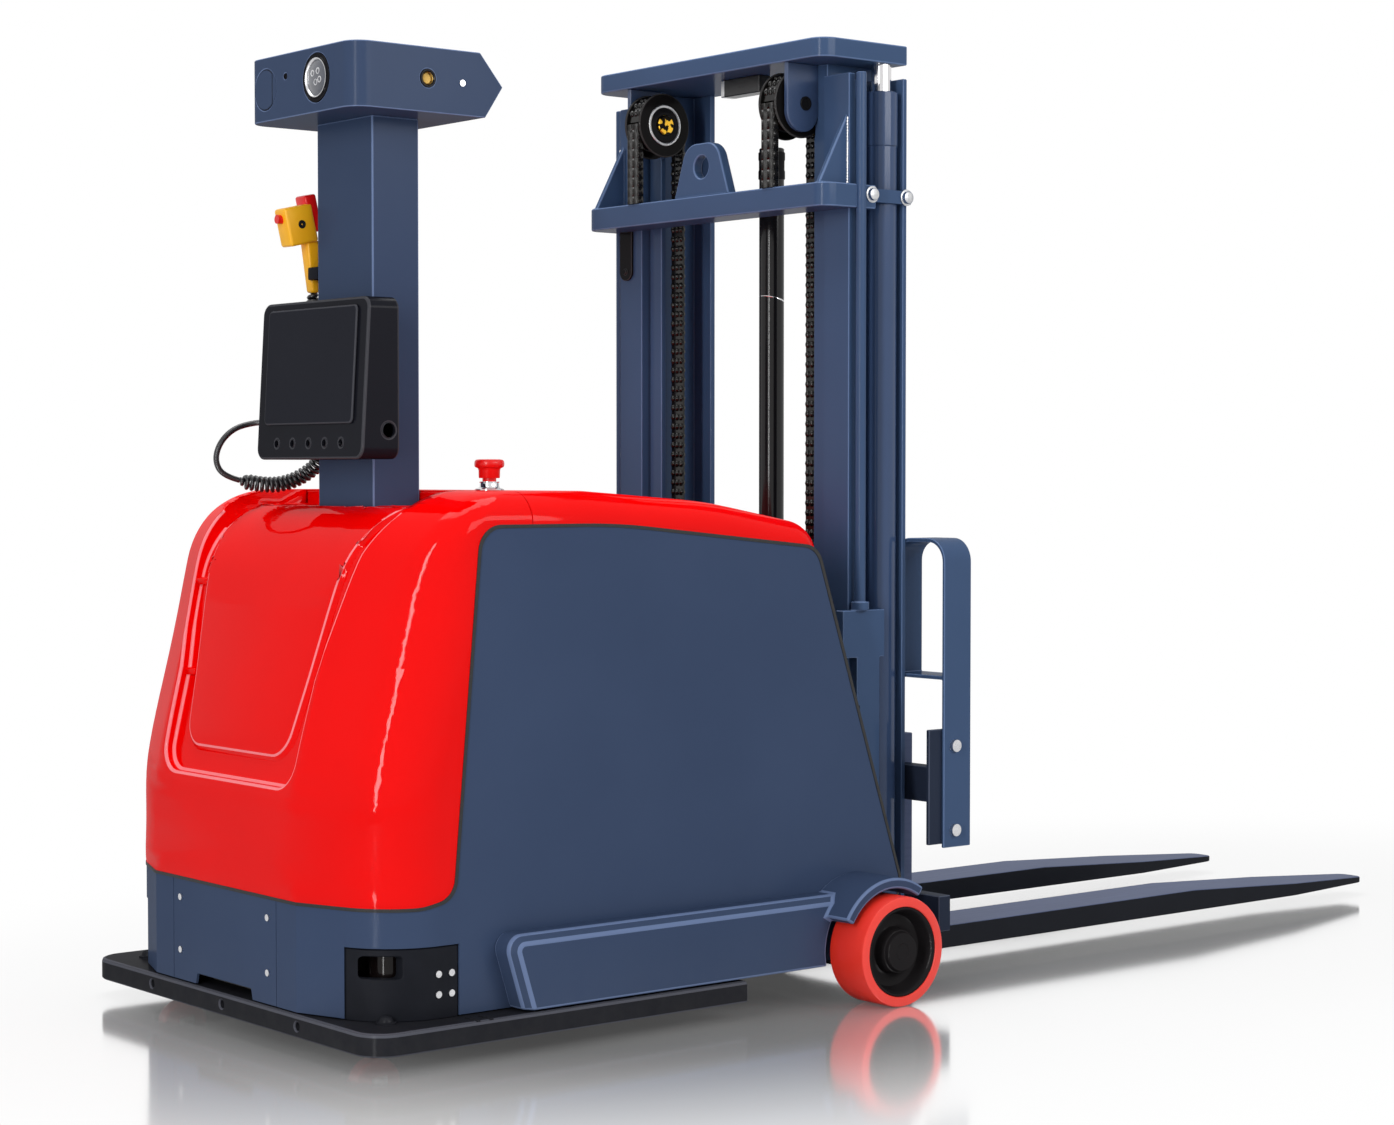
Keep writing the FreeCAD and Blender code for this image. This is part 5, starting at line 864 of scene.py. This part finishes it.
# Bolts of the tie and straps, the pulley pins' sockets, and the gussets' weld beads, bare outside.
for side_name, sign in (("near", -1), ("far", 1)):
    bolt(f"tie_bolt_{side_name}", at(1.333, sign * 0.4125, TIE_BOLT_Z), (0, sign, 0), "chassis")
    bolt(f"strap_bolt_{side_name}", at(1.440, sign * 0.404, TIE_BOLT_Z), (0, sign, 0), "chassis")
    socket = spun(f"bracket_socket_{side_name}",
                  [(0.0, 0.0), (0.0150, 0.0), (0.0150, 0.0022), (0.0135, 0.0030), (0.0112, 0.0026),
                   (0.0105, 0.0008), (0.0, 0.0008), (0.0, 0.0)],
                  at(PULLEY_X, sign * 0.276, PULLEY_Z), (0, sign, 0), tube_black, 32)
    fitted(socket, "inner_mast", "tube_black")
    for face, bead_y, bead_finish in (("outer", 0.3895, bright_steel), ("inner", 0.3745, mast_coat)):
        bead = bmesh.new()
        for number in range(WELD_DROPS):
            drop = bmesh.ops.create_uvsphere(bead, u_segments=7, v_segments=4, radius=0.0026)["verts"]
            bmesh.ops.scale(bead, vec=(1, 1, 1.5), verts=drop)
            spot = at(1.2835, sign * bead_y, WELD_FOOT + number * WELD_STEP)
            bmesh.ops.translate(bead, vec=spot, verts=drop)
        fitted(link_mesh(f"weld_bead_{side_name}_{face}", bead, bead_finish), "chassis", "mast_grey")

# Pulley brackets painted like the mast, with brass pin ends inside, and the black height switch
# with its zinc end.
fitting_coat, wire, place = new_finish("fitting_coat")
y = axes_of(place)[1]
off_centre = wire.maths("ABSOLUTE", y)
blue = mixed(noise(place, 3.5, 3), (0.033, 0.058, 0.128, 1), (0.043, 0.073, 0.155, 1))
gold = mixed(noise(place, 70, 3) > 0.5, (0.01, 0.008, 0.006, 1), (0.95, 0.55, 0.05, 1))
is_pin = off_centre < 0.2045
is_switch = off_centre < 0.1
is_end = is_switch * (y > 0.022)
colour = mixed(is_pin, blue, gold)
colour = mixed(is_switch, colour, (0.008, 0.008, 0.009, 1))
colour = mixed(is_end, colour, (0.6, 0.6, 0.61, 1))
shade(wire, {"Base Color": colour, "Metallic": (is_pin - is_switch) + is_end,
             "Roughness": 0.26 + noise(place, 60, 3) * 0.12}, noise(place, 160, 3), 0.0002)
eased("top_plate_fittings", fitting_coat, 0.002)

# ---------------------------------------------------------------- pulleys and chains
# Machined steel pulleys blackened in use with a zinc bearing ring, and oiled lift chains: rows of
# three barrels joined by leaves.  The front strands, seen edge on, are banded bars instead.

PITCH_RADIUS, LINK_PITCH, REAR_LINKS, WRAP_LINKS = 0.062, 0.0214, 53, 9
REAR_X, FRONT_X = PULLEY_X + PITCH_RADIUS, PULLEY_X - PITCH_RADIUS
STRAND_FOOT, STRAND_MIDDLE, STRAND_LENGTH = 1.696, 1.7855, 0.179  # the front strands' heights
BARREL_RADIUS, BARREL_STEP = 0.0088, 0.0140
RIDGE_WIDTH = 0.0185
pulley_iron = coated("pulley_iron", (0.004, 0.004, 0.004, 1), (0.011, 0.010, 0.010, 1), 0.22)
eased("lift_pulleys", pulley_iron, 0.003, 2)
for side_name, sign in (("near", -1), ("far", 1)):
    inner_face = at(PULLEY_X, sign * 0.204, PULLEY_Z)
    ring = spun(f"bearing_ring_{side_name}",
                [(0.0395, -0.001), (0.0400, 0.0018), (0.0415, 0.0028), (0.0445, 0.0028), (0.0458, 0.0016),
                 (0.0462, -0.001), (0.0395, -0.001)], inner_face, (0, -sign, 0), zinc)
    fitted(ring, "lift_pulleys", "steel")
    shield = spun(f"bearing_shield_{side_name}",
                  [(0.0235, -0.001), (0.0240, 0.0012), (0.0290, 0.0014), (0.0370, 0.0004), (0.0375, -0.001),
                   (0.0235, -0.001)], inner_face, (0, -sign, 0), tube_black)
    fitted(shield, "lift_pulleys", "pulley_black")

chain_coat, wire, place = new_finish("oiled_chain")
shade(wire, {"Base Color": mixed(noise(place, 300, 3), (0.002, 0.002, 0.002, 1), (0.010, 0.009, 0.008, 1)),
             "Roughness": 0.10 + noise(place, 500, 2) * 0.10, "Specular IOR Level": 0.3})


def link_row(shape, spot, heading):
    """One pitch of chain: three barrels in a row, and the leaf that joins them to the next row."""
    lie = Matrix.Translation(spot) @ Vector((0, 0, 1)).rotation_difference(heading).to_matrix().to_4x4()
    leaf = bmesh.ops.create_cube(shape, size=1)["verts"]
    bmesh.ops.scale(shape, vec=(0.0060, 0.0400, LINK_PITCH), verts=leaf)
    bmesh.ops.transform(shape, matrix=lie @ Matrix.Translation((0, 0, LINK_PITCH / 2)), verts=leaf)
    for offset in (-BARREL_STEP, 0.0, BARREL_STEP):
        barrel = bmesh.ops.create_uvsphere(shape, u_segments=8, v_segments=5, radius=BARREL_RADIUS)["verts"]
        bmesh.ops.rotate(shape, cent=(0, 0, 0), matrix=Matrix.Rotation(math.pi / 2, 3, "X"), verts=barrel)
        bmesh.ops.scale(shape, vec=(1.05, 0.80, 1.08), verts=barrel)
        bmesh.ops.transform(shape, matrix=lie @ Matrix.Translation((0, offset, 0)), verts=barrel)


def strand(name, runs):
    """A chain piece: one link at each place and heading."""
    shape = bmesh.new()
    for spot, heading in runs:
        link_row(shape, spot, heading)
    return link_mesh(name, shape, chain_coat, 50)


band_coat, wire, place = new_finish("chain_band")
y, z = axes_of(place)[1:]
wave = wire.maths("ABSOLUTE", wire.maths("SINE", z * (math.pi / LINK_PITCH)))
from_edge = wire.maths("ABSOLUTE", y) - PULLEY_Y + RIDGE_WIDTH
ridge = wire.maths("ABSOLUTE", wire.maths("SINE", from_edge * (math.pi / RIDGE_WIDTH)))
# Painted shade: darker in the gaps between the rows of links, more so along the ridges across the width.
gap_shade = (1 - wave) * (0.4 + 0.6 * ridge)
shade(wire, {"Base Color": mixed(gap_shade, (0.010, 0.009, 0.008, 1), (0.001, 0.001, 0.001, 1)),
             "Roughness": 0.12 + noise(place, 500, 2) * 0.10, "Specular IOR Level": 0.3},
      wave * 0.7 - ridge * 0.5, 0.006)

for side_name, sign in (("near", -1), ("far", 1)):
    rear = [(at(REAR_X, sign * PULLEY_Y, PULLEY_Z - LINK_PITCH * (number + 0.75)), Vector((0, 0, 1)))
            for number in range(REAR_LINKS)]
    rear_strand = strand(f"lift_chain_rear_{side_name}", rear)
    fitted(rear_strand, "inner_mast", "chain_steel", "chain_rear")
    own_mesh(rear_strand)
    wrap_turn = 2 * math.asin(LINK_PITCH / 2 / PITCH_RADIUS)
    wrap = []
    for number in range(WRAP_LINKS):
        turn = -0.04 + wrap_turn * number
        ahead = turn + wrap_turn / 2
        wrap.append((at(PULLEY_X + PITCH_RADIUS * math.cos(turn), sign * PULLEY_Y,
                        PULLEY_Z + PITCH_RADIUS * math.sin(turn)),
                     Vector((-math.sin(ahead), 0, math.cos(ahead)))))
    fitted(strand(f"lift_chain_wrap_{side_name}", wrap), "inner_mast", "chain_steel", "chain_wraps")
    front = bmesh.new()
    bmesh.ops.create_cube(front, size=1)
    bmesh.ops.scale(front, vec=(0.017, 0.043, STRAND_LENGTH), verts=front.verts)
    bmesh.ops.translate(front, vec=at(FRONT_X, sign * PULLEY_Y, STRAND_MIDDLE), verts=front.verts)
    upright = [edge for edge in front.edges if abs(edge.verts[0].co.z - edge.verts[1].co.z) > 0.1]
    bmesh.ops.bevel(front, geom=upright, offset=0.005, offset_type="OFFSET", segments=3, profile=0.5,
                    affect="EDGES", material=-1)
    bmesh.ops.bisect_plane(front, geom=front.verts[:] + front.edges[:] + front.faces[:], dist=1e-6,
                           plane_co=(0, 0, STRAND_MIDDLE), plane_no=(0, 0, 1))
    front_piece = link_mesh(f"lift_chain_front_{side_name}", front, band_coat)
    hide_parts("chain_front")
    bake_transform(front_piece)

# ---------------------------------------------------------------- carriage and forks
# Welded carriage in near-black paint that runs on rollers in the inner channels, and forged forks
# hooked on its bars with a brushed grain; their tops are painted a lighter blue-grey as lit and their sides a
# darker copy as shaded.

CROWN, TIP_TOP, RISE_PER_METRE = 0.083, 0.047, 0.036 / 0.7  # heights of the blade's top, and its taper

carriage_coat = coated("carriage_coat", (0.018, 0.025, 0.045, 1), (0.028, 0.038, 0.066, 1), 0.36)
eased("carriage_frame", carriage_coat, 0.0018)
fork_coat, wire, place = new_finish("fork_coat")
x, y, z = axes_of(place)
ramp = TIP_TOP + (solid_box[1][0] - x) * RISE_PER_METRE
top_line = wire.maths("MINIMUM", ramp, CROWN)
# Painted light and shade: the blade's top is a lighter blue-grey as if lit from above, its sides darker as if
# shaded.
upper = z > top_line - 0.0012
blade = noise(place.node("ShaderNodeCombineXYZ", values={0: x * 4, 1: y * 120, 2: z * 120}), 1, 4, 0.6)
shaded_side = mixed(noise(place, 8, 4), (0.006, 0.007, 0.011, 1), (0.010, 0.012, 0.018, 1))
lit_top = mixed(blade, (0.06, 0.08, 0.155, 1), (0.095, 0.12, 0.215, 1))
shade(wire, {"Base Color": mixed(upper, shaded_side, lit_top), "Roughness": 0.3 + blade * 0.14,
             "Specular IOR Level": 0.0, "Coat Weight": 0.2, "Coat Roughness": 0.2}, blade, 0.0001)
for node in ("fork_near", "fork_far"):
    eased(node, fork_coat, 0.002)
